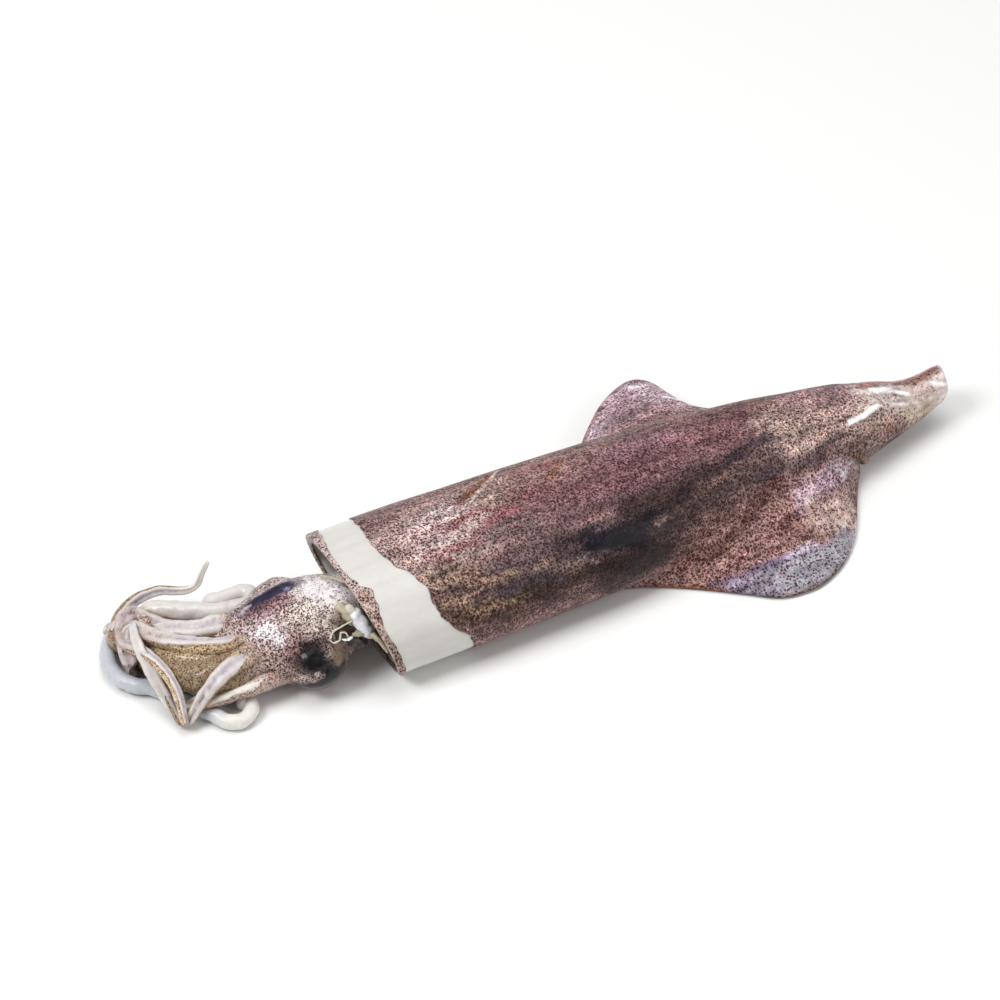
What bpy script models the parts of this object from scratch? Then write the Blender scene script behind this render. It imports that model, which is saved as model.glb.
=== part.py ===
"""A whole raw squid lying on its belly, tail towards +X: one solid.

The mantle is a tapering tube with a shallow open mouth, two fins and a lifted tail. The head stands in
the mouth, with an eye on each side and a funnel under it, and eight arms and two tentacles lie in a
loose pile in front of it. Lengths in this file are millimetres, and MM turns them into metres.
"""

import math
from collections import namedtuple

import bmesh
import bpy
from mathutils import Vector

MM = 0.001
Bend = namedtuple("Bend", "centre radius start end z_start z_end")

# The pose is drawn from the middle of the mantle's mouth, and this moves the whole to its box's centre
CENTRE_X = 25.0
CENTRE_Y = 5.7

# Mantle, as sections of centre line, half width, underside and top
MANTLE_SECTIONS = [
    (-52, 4.5, 33.0, -0.5, 37.0), (-20, 4.2, 33.0, -0.5, 37.0), (30, 3.0, 31.7, -0.5, 36.5),
    (60, 3.6, 29.5, -0.5, 35.3), (90, 4.6, 26.3, -0.5, 33.4), (120, 5.0, 21.8, -0.3, 30.6),
    (150, 5.0, 16.2, 1.4, 26.9), (166, 4.8, 11.8, 4.0, 23.0), (179, 4.8, 8.6, 6.6, 19.6),
    (188.5, 6.0, 7.4, 8.2, 19.8),
]
MANTLE_RINGS = 36
MANTLE_SIDES = 32
BELLY_FLATNESS = 2.7
BACK_ROUNDNESS = 2.1
WIDEST_AT = 0.42
MOUTH_SLANT = 11.5
MOUTH_SLANT_REACH = 60.0
TAIL_SLANT = -4.0
TAIL_SLANT_REACH = 16.0

# The open mouth of the mantle
WALL = 3.2
MOUTH_DEPTH = 16.0
CUTTER_LEAD = 20.0
CUTTER_SKEW = 1.5

# Fins, by the line of the free edge from the front end of the root to its rear end
FIN_ROOT_FRONT = 26.0
FIN_ROOT_REAR = 152.0
NEAR_FIN_EDGE = [
    (26, -18, 1.2), (44, -23, 1.2), (60, -32, 1.2), (75, -43, 1.2), (86, -51, 1.2), (97, -53, 1.2),
    (106, -51.5, 1.2), (117, -46, 1.2), (128, -36, 1.2), (138, -21.5, 1.6), (150, -6, 3),
]
FAR_FIN_EDGE = [
    (34, 24, 2), (50, 36, 5), (62, 47, 9), (74, 57, 10), (85, 63, 10), (93.5, 64.5, 10), (100, 59.5, 9),
    (105, 49, 6), (118, 41, 3), (132, 33, 1.2), (151, 15, 3),
]
FIN_ROOT_REACH = 0.66
FIN_ROOT_HEIGHT = 0.6
FIN_ROOT_THICKNESS = 6.0
FIN_EDGE_THICKNESS = 1.6
FIN_ROOT_FULLNESS = 0.5
FIN_ARCH = 1.3
FIN_ARCH_DROP = 1.2
FIN_STATIONS = 26
FIN_ACROSS = 8

# Head, as sections of centre line, half width, underside and top
HEAD_SECTIONS = [
    (-38, 4.0, 9.5, 9.0, 25.0), (-54, 4.0, 10.5, 6.5, 29.0), (-62, 3.6, 13.0, 4.0, 30.5),
    (-70, 3.0, 17.5, 1.6, 31.0), (-79, 3.2, 20.0, 0.7, 31.0), (-90, 5.2, 17.5, 0.8, 28.0),
    (-98, 7.0, 14.5, 1.6, 24.0), (-105, 8.2, 9.5, 4.0, 19.0),
]
HEAD_RINGS = 16
HEAD_SIDES = 24
EYES = {"near": (-79.0, -12.0, 12.5), "far": (-80.5, 17.0, 16.0)}
EYE_RADII = (11.0, 8.5, 10.0)
FUNNEL_PATH = [(-44, 1, 9), (-56, 1, 6.6), (-66, 1.5, 5.2)]
FUNNEL_RADII = (7.0, 4.6)

# Arms and tentacles: each one's line from inside the head, as points and round bends, then its root and
# tip radius. A bend is a centre, a radius, the angles it starts and ends at, and the heights there.
LIMBS = {
    "arm_front": (
        [(-92, 1, 17), (-101, -3, 19.5), (-110, -6, 16), (-118, -7.5, 11), (-126.5, -8.5, 4.5)],
        3.9, 1.8,
    ),
    "arm_low": (
        [(-90, -6, 9), (-100, -8.5, 8.5), (-110, -8.5, 7), (-119, -5.5, 5), (-126, -1, 3.4)],
        4.0, 1.8,
    ),
    "arm_broad": (
        [(-94, 2, 12), (-105, -1.5, 12.5), (-114, -0.5, 12), (-122, 6.5, 10.5), (-129, 20, 8.5)],
        8.0, 3.2,
    ),
    "arm_hairpin": (
        [(-92, 8, 18), (-104, 5, 20), (-115, 11, 20), (-124, 19.5, 19),
         Bend((-131.3, 24.8), 3.3, 50, 210, 17.5, 16),
         (-131.5, 17.5, 16.5), (-128.5, 8, 15.5), (-127.5, -1, 12), (-129, -9.5, 6)],
        3.6, 1.5,
    ),
    "arm_pale": (
        [(-90, 13, 15), (-101, 16, 16.5), (-110, 17.5, 17), (-118, 23, 15.5), (-125, 29, 12),
         Bend((-126, 41), 7.2, 220, 130, 7, 2.4)],
        4.2, 1.5,
    ),
    "arm_outer": (
        [(-90, 12, 7), (-106, 20, 5), (-120, 26, 5), Bend((-116.8, 30), 17.0, 175, 42, 8, 12),
         (-100, 40, 14), (-98, 39.5, 19), (-95.8, 39.5, 23.5)],
        3.8, 0.9,
    ),
    "arm_cluster": (
        [(-92, 10, 10), (-108, 20, 9), (-119, 31, 10.5), (-126, 36.5, 14), (-131, 33, 16),
         (-133.5, 26.5, 14.5), (-135, 21, 11)],
        3.9, 3.0,
    ),
    "arm_left": (
        [(-92, 4, 6), (-108, 9, 5), (-120, 20, 6), (-127, 26, 9), (-129, 18.5, 10.5), (-128.6, 11, 8.5),
         (-128.8, 1.7, 6), (-128.8, -7, 3.4)],
        3.6, 1.8,
    ),
    "tentacle_loop": (
        [(-90, 10, 8), (-105, 17, 7), (-117, 27, 6.5), (-125, 35, 8), (-119, 38, 12), (-109, 30.5, 14),
         (-100, 24.5, 14.5), Bend((-88.6, 26.9), 3.9, -105, 85, 14, 12.6), (-94, 31.5, 12), (-98, 33, 11)],
        3.6, 2.9,
    ),
    "tentacle_curl": (
        [(-92, 2, 5), (-110, 13, 4), (-122, 28, 4), Bend((-124.5, 25.4), 15.2, 118, 247, 4.5, 3.4),
         (-126, 5, 3.3), (-122, -1.5, 3.2), Bend((-110.6, -9.4), 6.4, 195, 372, 3.1, 3), (-106.5, -8.6, 3)],
        3.2, 2.7,
    ),
}
LIMB_STEP = 3.2
LIMB_TAPER = 1.3
LIMB_BEVEL_RESOLUTION = 2
WELD = 0.01

# The rounded tip of a limb, as share of its tip radius: how far on, and how wide there
TIP_STEPS = [(0.6, 0.8), (0.95, 0.3)]

CREASE_ANGLE = 50
SKIN_COLOUR = (0.23, 0.12, 0.11, 1)
SKIN_ROUGHNESS = 0.3
BEND_STEP = 40
CURVE_STEPS = 16


def blend(x, low, high):
    """0 up to low, 1 from high, and a smooth rise between them."""
    t = min(1.0, max(0.0, (x - low) / (high - low)))
    return t * t * (3 - 2 * t)


def bend_points(bend):
    """Points along a round bend, at most BEND_STEP degrees apart."""
    steps = math.ceil(abs(bend.end - bend.start) / BEND_STEP)
    points = []
    for k in range(steps + 1):
        angle = math.radians(bend.start + (bend.end - bend.start) * k / steps)
        x = bend.centre[0] + bend.radius * math.cos(angle)
        y = bend.centre[1] + bend.radius * math.sin(angle)
        points.append((x, y, bend.z_start + (bend.z_end - bend.z_start) * k / steps))
    return points


def curve_point(points, i, t):
    """The point a share t of the way from points[i] to the next, on a smooth curve through all of them."""
    a, b = points[max(i - 1, 0)], points[i]
    c, d = points[min(i + 1, len(points) - 1)], points[min(i + 2, len(points) - 1)]
    return tuple(
        0.5 * (2 * q + (r - p) * t + (2 * p - 5 * q + 4 * r - s) * t ** 2 + (3 * q - p - 3 * r + s) * t ** 3)
        for p, q, r, s in zip(a, b, c, d)
    )


def smooth_line(points, count):
    """count points, evenly spaced by length, on a smooth curve through the given ones."""
    fine = []
    for i in range(len(points) - 1):
        fine += [Vector(curve_point(points, i, k / CURVE_STEPS)) for k in range(CURVE_STEPS)]
    fine.append(Vector(points[-1]))
    reach = [0.0]
    for a, b in zip(fine, fine[1:]):
        reach.append(reach[-1] + (b - a).length)
    line, j = [], 0
    for k in range(count):
        want = reach[-1] * k / (count - 1)
        while j < len(fine) - 2 and reach[j + 1] < want:
            j += 1
        line.append(fine[j].lerp(fine[j + 1], min(1.0, (want - reach[j]) / (reach[j + 1] - reach[j]))))
    return line


def value_at(rows, x):
    """The other columns of rows at x, eased between the rows, which run up or down in their first column."""
    rows = sorted(rows)
    x = min(max(x, rows[0][0]), rows[-1][0])
    i = next(k for k in range(len(rows) - 1) if x <= rows[k + 1][0])
    t = (x - rows[i][0]) / (rows[i + 1][0] - rows[i][0])
    return curve_point([row[1:] for row in rows], i, t)


def mantle_size(x):
    """Centre line, half width, underside and top of the mantle at x."""
    return value_at(MANTLE_SECTIONS, x)


def section(x, centre, half_width, low, top, sides, inset=0.0, slant=0.0):
    """A ring of points across the body: a round back over a flatter belly, pressed flat where it lies."""
    middle = low + WIDEST_AT * (top - low)
    ring = []
    for k in range(sides):
        angle = 2 * math.pi * k / sides
        c, s = math.cos(angle), math.sin(angle)
        power = 2 / (BACK_ROUNDNESS if s >= 0 else BELLY_FLATNESS)
        y = math.copysign(abs(c) ** power, c) * (half_width - inset)
        rise = math.copysign(abs(s) ** power, s) * ((top if s >= 0 else 2 * middle - low) - middle - inset)
        height = (middle + rise - low) / (top - low)
        ring.append((x - slant * height, centre + y, max(middle + rise, 0.0)))
    return ring


def loft(name, rings, collection):
    """A closed object through rings that have the same number of points, with flat ends."""
    bm = bmesh.new()
    before = None
    for k, ring in enumerate(rings):
        is_end = k in (0, len(rings) - 1)
        circle = bmesh.ops.create_circle(bm, segments=len(ring), radius=MM, cap_ends=is_end)["verts"]
        for vertex, point in zip(circle, ring):
            vertex.co = Vector(point) * MM
        edges = {edge for vertex in circle for edge in vertex.link_edges}
        if before:
            bmesh.ops.bridge_loops(bm, edges=list(before | edges))
        before = edges
    bmesh.ops.triangulate(bm, faces=bm.faces)
    bmesh.ops.recalc_face_normals(bm, faces=bm.faces)
    return link_mesh(name, bm, collection)


def link_mesh(name, bm, collection):
    """A new object in the collection from a bmesh, which is freed."""
    mesh = bpy.data.meshes.new(name)
    bm.to_mesh(mesh)
    bm.free()
    obj = bpy.data.objects.new(name, mesh)
    collection.objects.link(obj)
    return obj


def evaluated_mesh(obj):
    """The object's mesh with its modifiers or its curve's bevel applied."""
    bpy.context.view_layer.update()
    return bpy.data.meshes.new_from_object(obj.evaluated_get(bpy.context.evaluated_depsgraph_get()))


def mantle(collection):
    """The tapering tube, whose mouth leans forward at the back and whose tail end leans rearward."""
    first, last = MANTLE_SECTIONS[0][0], MANTLE_SECTIONS[-1][0]
    rings = []
    for k in range(MANTLE_RINGS):
        x = first + (last - first) * k / (MANTLE_RINGS - 1)
        slant = MOUTH_SLANT * (1 - blend(x, first, first + MOUTH_SLANT_REACH))
        slant += TAIL_SLANT * blend(x, last - TAIL_SLANT_REACH, last)
        rings.append(section(x, *mantle_size(x), MANTLE_SIDES, slant=slant))
    return loft("squid", rings, collection)


def mouth_cutter(collection):
    """What is taken out of the mantle's front end, so that its wall stands free round the head."""
    mouth = MANTLE_SECTIONS[0][0]
    rings = []
    for x in (mouth - CUTTER_LEAD, mouth - CUTTER_SKEW, mouth + MOUTH_DEPTH / 2, mouth + MOUTH_DEPTH):
        rings.append(section(x, *mantle_size(x), MANTLE_SIDES, inset=WALL, slant=MOUTH_SLANT))
    return loft("mouth_cutter", rings, collection)


def fin(name, edge_points, side, collection):
    """A fin with its root inside the mantle: an arched sheet, thick at the root and thin at its free edge."""
    bm = bmesh.new()
    grid = bmesh.ops.create_grid(bm, x_segments=FIN_ACROSS - 1, y_segments=FIN_STATIONS - 1, size=MM)["verts"]
    for k, free in enumerate(smooth_line(edge_points, FIN_STATIONS)):
        share = k / (FIN_STATIONS - 1)
        x = FIN_ROOT_FRONT + (FIN_ROOT_REAR - FIN_ROOT_FRONT) * share
        centre, half_width, low, top = mantle_size(x)
        reach = FIN_ROOT_REACH * math.sin(math.pi * share) ** FIN_ROOT_FULLNESS
        root = Vector((x, centre + side * half_width * reach, low + (top - low) * FIN_ROOT_HEIGHT))
        for j in range(FIN_ACROSS):
            t = j / (FIN_ACROSS - 1)
            point = root.lerp(free, t)
            point.z = free.z + (root.z - free.z) * (1 - t ** FIN_ARCH) ** FIN_ARCH_DROP
            grid[k * FIN_ACROSS + j].co = point * MM
    bmesh.ops.triangulate(bm, faces=bm.faces)
    obj = link_mesh(name, bm, collection)

    thickness = obj.vertex_groups.new(name="thickness")
    for index in range(FIN_STATIONS * FIN_ACROSS):
        thickness.add([index], 1 - (index % FIN_ACROSS) / (FIN_ACROSS - 1), "REPLACE")
    solid = obj.modifiers.new("solid", "SOLIDIFY")
    solid.thickness = FIN_ROOT_THICKNESS * MM
    solid.offset = 0
    solid.vertex_group = thickness.name
    solid.thickness_vertex_group = FIN_EDGE_THICKNESS / FIN_ROOT_THICKNESS
    mesh = evaluated_mesh(obj)
    obj.modifiers.clear()
    obj.data = mesh
    return obj


def head(collection):
    """The head, from inside the mantle's mouth to the crown of arms."""
    first, last = HEAD_SECTIONS[0][0], HEAD_SECTIONS[-1][0]
    rings = []
    for k in range(HEAD_RINGS):
        x = first + (last - first) * k / (HEAD_RINGS - 1)
        rings.append(section(x, *value_at(HEAD_SECTIONS, x), HEAD_SIDES))
    return loft("head", rings, collection)


def eye(name, centre, collection):
    """One bulging eye."""
    bpy.ops.mesh.primitive_uv_sphere_add(segments=20, ring_count=12, radius=1, location=Vector(centre) * MM)
    obj = bpy.context.object
    obj.name = name
    obj.scale = Vector(EYE_RADII) * MM
    bpy.ops.object.transform_apply(location=False, rotation=False, scale=True)
    for owner in obj.users_collection:
        owner.objects.unlink(obj)
    collection.objects.link(obj)
    return obj


def limb(name, route, root_radius, tip_radius, collection):
    """A tapering tube along a smooth curve, with a rounded tip, made a mesh with its end caps welded on."""
    points = []
    for stop in route:
        points += bend_points(stop) if isinstance(stop, Bend) else [stop]
    length = sum((Vector(b) - Vector(a)).length for a, b in zip(points, points[1:]))
    line = smooth_line(points, max(6, round(length / LIMB_STEP)))
    last = len(line) - 1
    radii = [root_radius + (tip_radius - root_radius) * (k / last) ** LIMB_TAPER for k in range(last + 1)]
    onward = (line[-1] - line[-2]).normalized()
    end = line[-1]
    for reach, width in TIP_STEPS:
        line.append(end + onward * tip_radius * reach)
        radii.append(tip_radius * width)
    curve = bpy.data.curves.new(name, "CURVE")
    curve.dimensions = "3D"
    curve.bevel_depth = MM
    curve.bevel_resolution = LIMB_BEVEL_RESOLUTION
    curve.use_fill_caps = True
    spline = curve.splines.new("POLY")
    spline.points.add(len(line) - 1)
    for k, point in enumerate(line):
        spline.points[k].co = (*(point * MM), 1)
        spline.points[k].radius = radii[k]
    drawn = bpy.data.objects.new(name + "_line", curve)
    collection.objects.link(drawn)
    bm = bmesh.new()
    bm.from_mesh(evaluated_mesh(drawn))
    bmesh.ops.remove_doubles(bm, verts=bm.verts, dist=WELD * MM)
    bmesh.ops.recalc_face_normals(bm, faces=bm.faces)
    obj = link_mesh(name, bm, collection)
    obj.matrix_world = drawn.matrix_world
    bpy.data.objects.remove(drawn)
    return obj


def boolean(obj, operation, other):
    """Joins a collection to obj, or takes an object out of it, and applies the result."""
    modifier = obj.modifiers.new(operation.lower(), "BOOLEAN")
    modifier.operation = operation
    modifier.solver = "EXACT"
    if operation == "UNION":
        modifier.operand_type = "COLLECTION"
        modifier.collection = other
    else:
        modifier.object = other
    mesh = evaluated_mesh(obj)
    obj.modifiers.clear()
    obj.data = mesh


def skin_material():
    material = bpy.data.materials.new("squid_skin")
    material.use_nodes = True
    shader = material.node_tree.nodes["Principled BSDF"]
    shader.inputs["Base Color"].default_value = SKIN_COLOUR
    shader.inputs["Roughness"].default_value = SKIN_ROUGHNESS
    shader.inputs["Metallic"].default_value = 0.0
    return material


def main():
    for obj in list(bpy.data.objects):
        bpy.data.objects.remove(obj)
    squid_parts = bpy.data.collections.new("Squid")
    joined = bpy.data.collections.new("Joined shapes")
    cutters = bpy.data.collections.new("Cutters")
    for collection in (squid_parts, joined, cutters):
        bpy.context.scene.collection.children.link(collection)

    squid = mantle(squid_parts)
    cutter = mouth_cutter(cutters)
    boolean(squid, "DIFFERENCE", cutter)
    bpy.data.objects.remove(cutter)

    fin("fin_near", NEAR_FIN_EDGE, -1, joined)
    fin("fin_far", FAR_FIN_EDGE, 1, joined)
    head(joined)
    for name, centre in EYES.items():
        eye("eye_" + name, centre, joined)
    limb("funnel", FUNNEL_PATH, *FUNNEL_RADII, joined)
    for name, (route, root_radius, tip_radius) in LIMBS.items():
        limb(name, route, root_radius, tip_radius, joined)
    boolean(squid, "UNION", joined)
    for obj in list(joined.objects):
        bpy.data.objects.remove(obj)

    for vertex in squid.data.vertices:
        vertex.co -= Vector((CENTRE_X, CENTRE_Y, 0)) * MM
    squid.data.materials.clear()
    squid.data.materials.append(skin_material())
    squid.data.shade_smooth()
    squid.data.set_sharp_from_angle(angle=math.radians(CREASE_ANGLE))


main()
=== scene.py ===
# A whole raw squid, laid on its belly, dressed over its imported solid.
# Lengths here are millimetres, measured from the middle of the mantle's mouth.
import math

import bmesh
import bpy
import numpy as np
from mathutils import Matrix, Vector, noise


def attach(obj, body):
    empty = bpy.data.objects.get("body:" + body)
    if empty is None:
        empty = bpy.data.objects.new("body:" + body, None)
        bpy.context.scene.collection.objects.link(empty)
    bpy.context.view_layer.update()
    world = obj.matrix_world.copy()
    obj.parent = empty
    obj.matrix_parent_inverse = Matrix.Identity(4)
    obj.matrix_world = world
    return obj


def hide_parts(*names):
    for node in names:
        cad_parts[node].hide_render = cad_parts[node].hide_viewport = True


noise.seed_set(1)  # without it noise_vector differs from run to run, and so do the painted edges
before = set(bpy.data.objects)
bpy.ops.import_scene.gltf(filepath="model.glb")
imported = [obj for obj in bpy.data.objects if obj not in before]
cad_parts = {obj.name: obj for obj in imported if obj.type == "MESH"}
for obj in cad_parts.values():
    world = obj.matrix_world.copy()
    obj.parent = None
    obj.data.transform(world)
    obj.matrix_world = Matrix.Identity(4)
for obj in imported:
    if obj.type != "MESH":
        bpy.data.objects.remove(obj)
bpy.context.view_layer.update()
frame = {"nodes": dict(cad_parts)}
mm = 0.001
shift = np.array((25.0, 5.7, 0.0))  # from the drawing's origin to the middle of the part's box
print("frame loaded:", ", ".join(frame["nodes"]))

# camera first: low over the near side, as a person stands at the counter
viewpoint = {"place": (-0.51245, -0.80433, 0.94053), "turn": (46.205, -1.764, -29.624), "lens": 134.3}
camData = bpy.data.cameras.new("Camera")
camData.lens = viewpoint["lens"]
camData.sensor_width = 36
camData.clip_end = 20
camera = bpy.data.objects.new("Camera", camData)
camera.location = viewpoint["place"]
camera.rotation_euler = [math.radians(a) for a in viewpoint["turn"]]
bpy.context.scene.collection.objects.link(camera)
bpy.context.scene.camera = camera
bpy.context.scene.view_settings.view_transform = "Standard"  # colours come out as they are painted

squidCollection = bpy.data.collections.new("Squid")
bpy.context.scene.collection.children.link(squidCollection)


# small helpers for lines and sizes

def blend(x, low, high):
    t = np.clip((np.asarray(x, float) - low) / (high - low), 0, 1)
    return t * t * (3 - 2 * t)


def curvePoint(points, i, t):
    a, b = points[max(i - 1, 0)], points[i]
    c, d = points[min(i + 1, len(points) - 1)], points[min(i + 2, len(points) - 1)]
    return 0.5 * (2 * b + (c - a) * t + (2 * a - 5 * b + 4 * c - d) * t ** 2 + (3 * b - a - 3 * c + d) * t ** 3)


def spaced(line, count):
    # the same line with count points, evenly spaced by length
    line = np.asarray(line, float)
    reach = np.concatenate([[0], np.cumsum(np.linalg.norm(np.diff(line, axis=0), axis=1))])
    want = np.linspace(0, reach[-1], count)
    return np.column_stack([np.interp(want, reach, line[:, k]) for k in range(line.shape[1])])


def smoothLine(points, count):
    points = [np.asarray(p, float) for p in points]
    fine = [curvePoint(points, i, k / 16) for i in range(len(points) - 1) for k in range(16)]
    return spaced(fine + [points[-1]], count)


def valueAt(rows, x):
    # the other columns of rows at x, eased between the rows
    rows = sorted(rows)
    x = min(max(x, rows[0][0]), rows[-1][0])
    i = next(k for k in range(len(rows) - 1) if x <= rows[k + 1][0])
    t = (x - rows[i][0]) / (rows[i + 1][0] - rows[i][0])
    return curvePoint([np.array(row[1:], float) for row in rows], i, t)


def ringAt(size, angles, inset=0.0):
    # a round back over a flatter belly: distance out from the centre line, height, and share of the height
    centre, halfWidth, low, top = size
    middle = low + 0.42 * (top - low)
    c, s = np.cos(angles), np.sin(angles)
    power = np.where(s >= 0, 2 / 2.1, 2 / 2.7)
    out = np.sign(c) * np.abs(c) ** power * (halfWidth - inset)
    up = middle + np.sign(s) * np.abs(s) ** power * (np.where(s >= 0, top - middle, middle - low) - inset)
    return out, np.maximum(up, 0.02), (up - low) / (top - low)


def linear(rgb):
    # a colour as it is read off a picture, 0 to 255, turned into light
    return tuple(((v / 255 + 0.055) / 1.055) ** 2.4 if v > 10 else v / 255 / 12.92 for v in rgb)


def toward(colour, tint, share):
    # a colour moved part of the way to another
    return colour * (1 - share) + tint * share


def coordinates(mesh):
    co = np.zeros(len(mesh.vertices) * 3)
    mesh.vertices.foreach_get("co", co)
    return co.reshape(-1, 3)


def finish(name, bm, material):
    # a bmesh in millimetres becomes a piece in the part's frame
    bmesh.ops.recalc_face_normals(bm, faces=bm.faces)
    mesh = bpy.data.meshes.new(name)
    bm.to_mesh(mesh)
    bm.free()
    co = (coordinates(mesh) - shift) * mm
    mesh.vertices.foreach_set("co", co.ravel())
    mesh.shade_smooth()
    mesh.materials.append(material)
    piece = bpy.data.objects.new(name, mesh)
    squidCollection.objects.link(piece)
    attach(piece, "root")
    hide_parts("squid")
    return piece


def gridPiece(rows, closeRound=True, capEnds=True):
    # a bmesh through rows of points; each row is a ring when closeRound is set
    rows = np.asarray(rows, float)
    count, across = rows.shape[:2]
    if closeRound:
        rows = np.concatenate([rows, rows[:, :1]], axis=1)
        across += 1
    bm = bmesh.new()
    grid = bmesh.ops.create_grid(bm, x_segments=across - 1, y_segments=count - 1, size=1)["verts"]
    for vertex, point in zip(grid, rows.reshape(-1, 3)):
        vertex.co = point
    if closeRound:
        seam = [grid[k * across + j] for k in range(count) for j in (0, across - 1)]
        bmesh.ops.remove_doubles(bm, verts=seam, dist=0.0001)
        if capEnds:
            bmesh.ops.holes_fill(bm, edges=[e for e in bm.edges if e.is_boundary], sides=0)
            bmesh.ops.triangulate(bm, faces=[f for f in bm.faces if len(f.verts) > 4])
    return bm


def lineDistance(co, path):
    # how far each point lies from a line of straight runs
    path = np.asarray(path, float)
    best = np.full(len(co), 1e9)
    for a, b in zip(path, path[1:] if len(path) > 1 else path):
        run = b - a
        t = np.clip((co - a) @ run / max(run @ run, 1e-9), 0, 1)
        best = np.minimum(best, np.linalg.norm(co - a - t[:, None] * run, axis=1))
    return best


def paint(piece, ground, dabs, ragged=1.7, grain=0.12):
    # lays soft strokes of colour on a piece; a stroke is (path, reach, softness, colour, strength, spots)
    mesh = piece.data
    co = coordinates(mesh) / mm + shift
    long = np.array((0.35, 1.0, 1.0))  # the raggedness runs along the body
    wob = np.array([noise.noise_vector(Vector(p * long * grain)) for p in co])
    wob += 0.6 * np.array([noise.noise_vector(Vector(p * long * grain * 3)) for p in co])
    wob += 0.45 * np.array([noise.noise_vector(Vector(p * grain * 7)) for p in co])
    moved = co + wob * ragged * np.array((2.0, 1.0, 1.0))
    layer = mesh.color_attributes.get("paint")
    if layer:
        colour = np.zeros(len(co) * 4)
        layer.data.foreach_get("color", colour)
        colour = colour.reshape(-1, 4)
    else:
        layer = mesh.color_attributes.new("paint", "FLOAT_COLOR", "POINT")
        colour = np.tile(np.array((*linear(ground[0]), ground[1])), (len(co), 1))
    for path, reach, softness, tint, strength, spots in dabs:
        away = lineDistance(moved, path)
        share = (strength * (1 - blend(away, reach - softness, reach + softness)))[:, None]
        colour = toward(colour, np.array((*linear(tint), spots)), share)
    layer.data.foreach_set("color", colour.ravel())
    return piece


# shader groups that several finishes share

def newGroup(name, inputs, outputs):
    group = bpy.data.node_groups.new(name, "ShaderNodeTree")
    for label, kind, value in inputs:
        socket = group.interface.new_socket(label, in_out="INPUT", socket_type=kind)
        if value is not None:
            socket.default_value = value
    for label, kind in outputs:
        group.interface.new_socket(label, in_out="OUTPUT", socket_type=kind)
    return group, group.nodes.new("NodeGroupInput"), group.nodes.new("NodeGroupOutput")


def node(tree, kind, links=None, **values):
    # a node with its settings, and its inputs either linked or set
    made = tree.nodes.new(kind)
    for key, value in values.items():
        setattr(made, key, value)
    for key, value in (links or {}).items():
        if isinstance(value, bpy.types.NodeSocket):
            tree.links.new(value, made.inputs[key])
        else:
            made.inputs[key].default_value = value
    return made


def maths(tree, operation, *values, clamp=False):
    made = node(tree, "ShaderNodeMath", dict(enumerate(values)), operation=operation, use_clamp=clamp)
    return made.outputs[0]


def mixed(tree, share, first, second, blendType="MIX"):
    made = node(tree, "ShaderNodeMix", {0: share, 6: first, 7: second}, data_type="RGBA", blend_type=blendType)
    return made.outputs[2]


def spotGroup():
    # round pigment spots of mixed sizes, more of them where Amount is high
    group, given, result = newGroup(
        "Pigment spots",
        [("Vector", "NodeSocketVector", None), ("Scale", "NodeSocketFloat", 600.0),
         ("Radius", "NodeSocketFloat", 0.42), ("Amount", "NodeSocketFloat", 0.6)],
        [("Mask", "NodeSocketFloat")])
    bent = node(group, "ShaderNodeTexNoise", {"Vector": given.outputs["Vector"], "Scale": 1400.0, "Detail": 1.0})
    moved = node(group, "ShaderNodeVectorMath", {0: bent.outputs["Color"], 1: (0.0008, 0.0008, 0.0008),
                                                2: given.outputs["Vector"]}, operation="MULTIPLY_ADD")
    cells = node(group, "ShaderNodeTexVoronoi", {"Vector": moved.outputs[0], "Scale": given.outputs["Scale"],
                                                "Randomness": 0.85})
    parts = node(group, "ShaderNodeSeparateColor", {"Color": cells.outputs["Color"]})
    size = maths(group, "MULTIPLY_ADD", parts.outputs[0], 0.45, 0.55)
    radius = maths(group, "MULTIPLY", size, given.outputs["Radius"])
    gap = maths(group, "SUBTRACT", radius, cells.outputs["Distance"])
    disc = node(group, "ShaderNodeMapRange", {"Value": gap, "From Min": -0.08, "From Max": 0.14},
                interpolation_type="SMOOTHSTEP")
    chosen = maths(group, "SUBTRACT", given.outputs["Amount"], parts.outputs[1])
    there = node(group, "ShaderNodeMapRange", {"Value": chosen, "From Min": -0.05, "From Max": 0.05})
    both = maths(group, "MULTIPLY", disc.outputs[0], there.outputs[0])
    # fainter as well where they are few
    faint = maths(group, "MULTIPLY", given.outputs["Amount"], 1.7, clamp=True)
    group.links.new(maths(group, "MULTIPLY", both, faint), result.inputs["Mask"])
    return group


def streakGroup():
    # lighter and darker streaks that run along the body, -1 to 1
    group, given, result = newGroup(
        "Lengthwise streaks", [("Vector", "NodeSocketVector", None), ("Coarseness", "NodeSocketFloat", 1.0)],
        [("Value", "NodeSocketFloat")])
    drawn = node(group, "ShaderNodeMapping", {"Vector": given.outputs["Vector"], "Scale": (45, 260, 260),
                                             "Rotation": (0, 0, math.radians(3))})
    wave = node(group, "ShaderNodeTexNoise", {"Vector": drawn.outputs[0], "Scale": given.outputs["Coarseness"],
                                             "Detail": 4.0, "Roughness": 0.6, "Distortion": 0.4})
    spread = node(group, "ShaderNodeMapRange", {"Value": wave.outputs[0], "From Min": 0.32, "From Max": 0.68,
                                               "To Min": -1.0, "To Max": 1.0})
    group.links.new(spread.outputs[0], result.inputs["Value"])
    return group


spots, streaks = spotGroup(), streakGroup()
# the same on every wet surface
wetness = {"Specular IOR Level": 0.15, "Coat Roughness": 0.10, "Coat IOR": 1.33,
           "Subsurface Radius": (1.0, 0.5, 0.35), "Subsurface Scale": 0.003}


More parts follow.
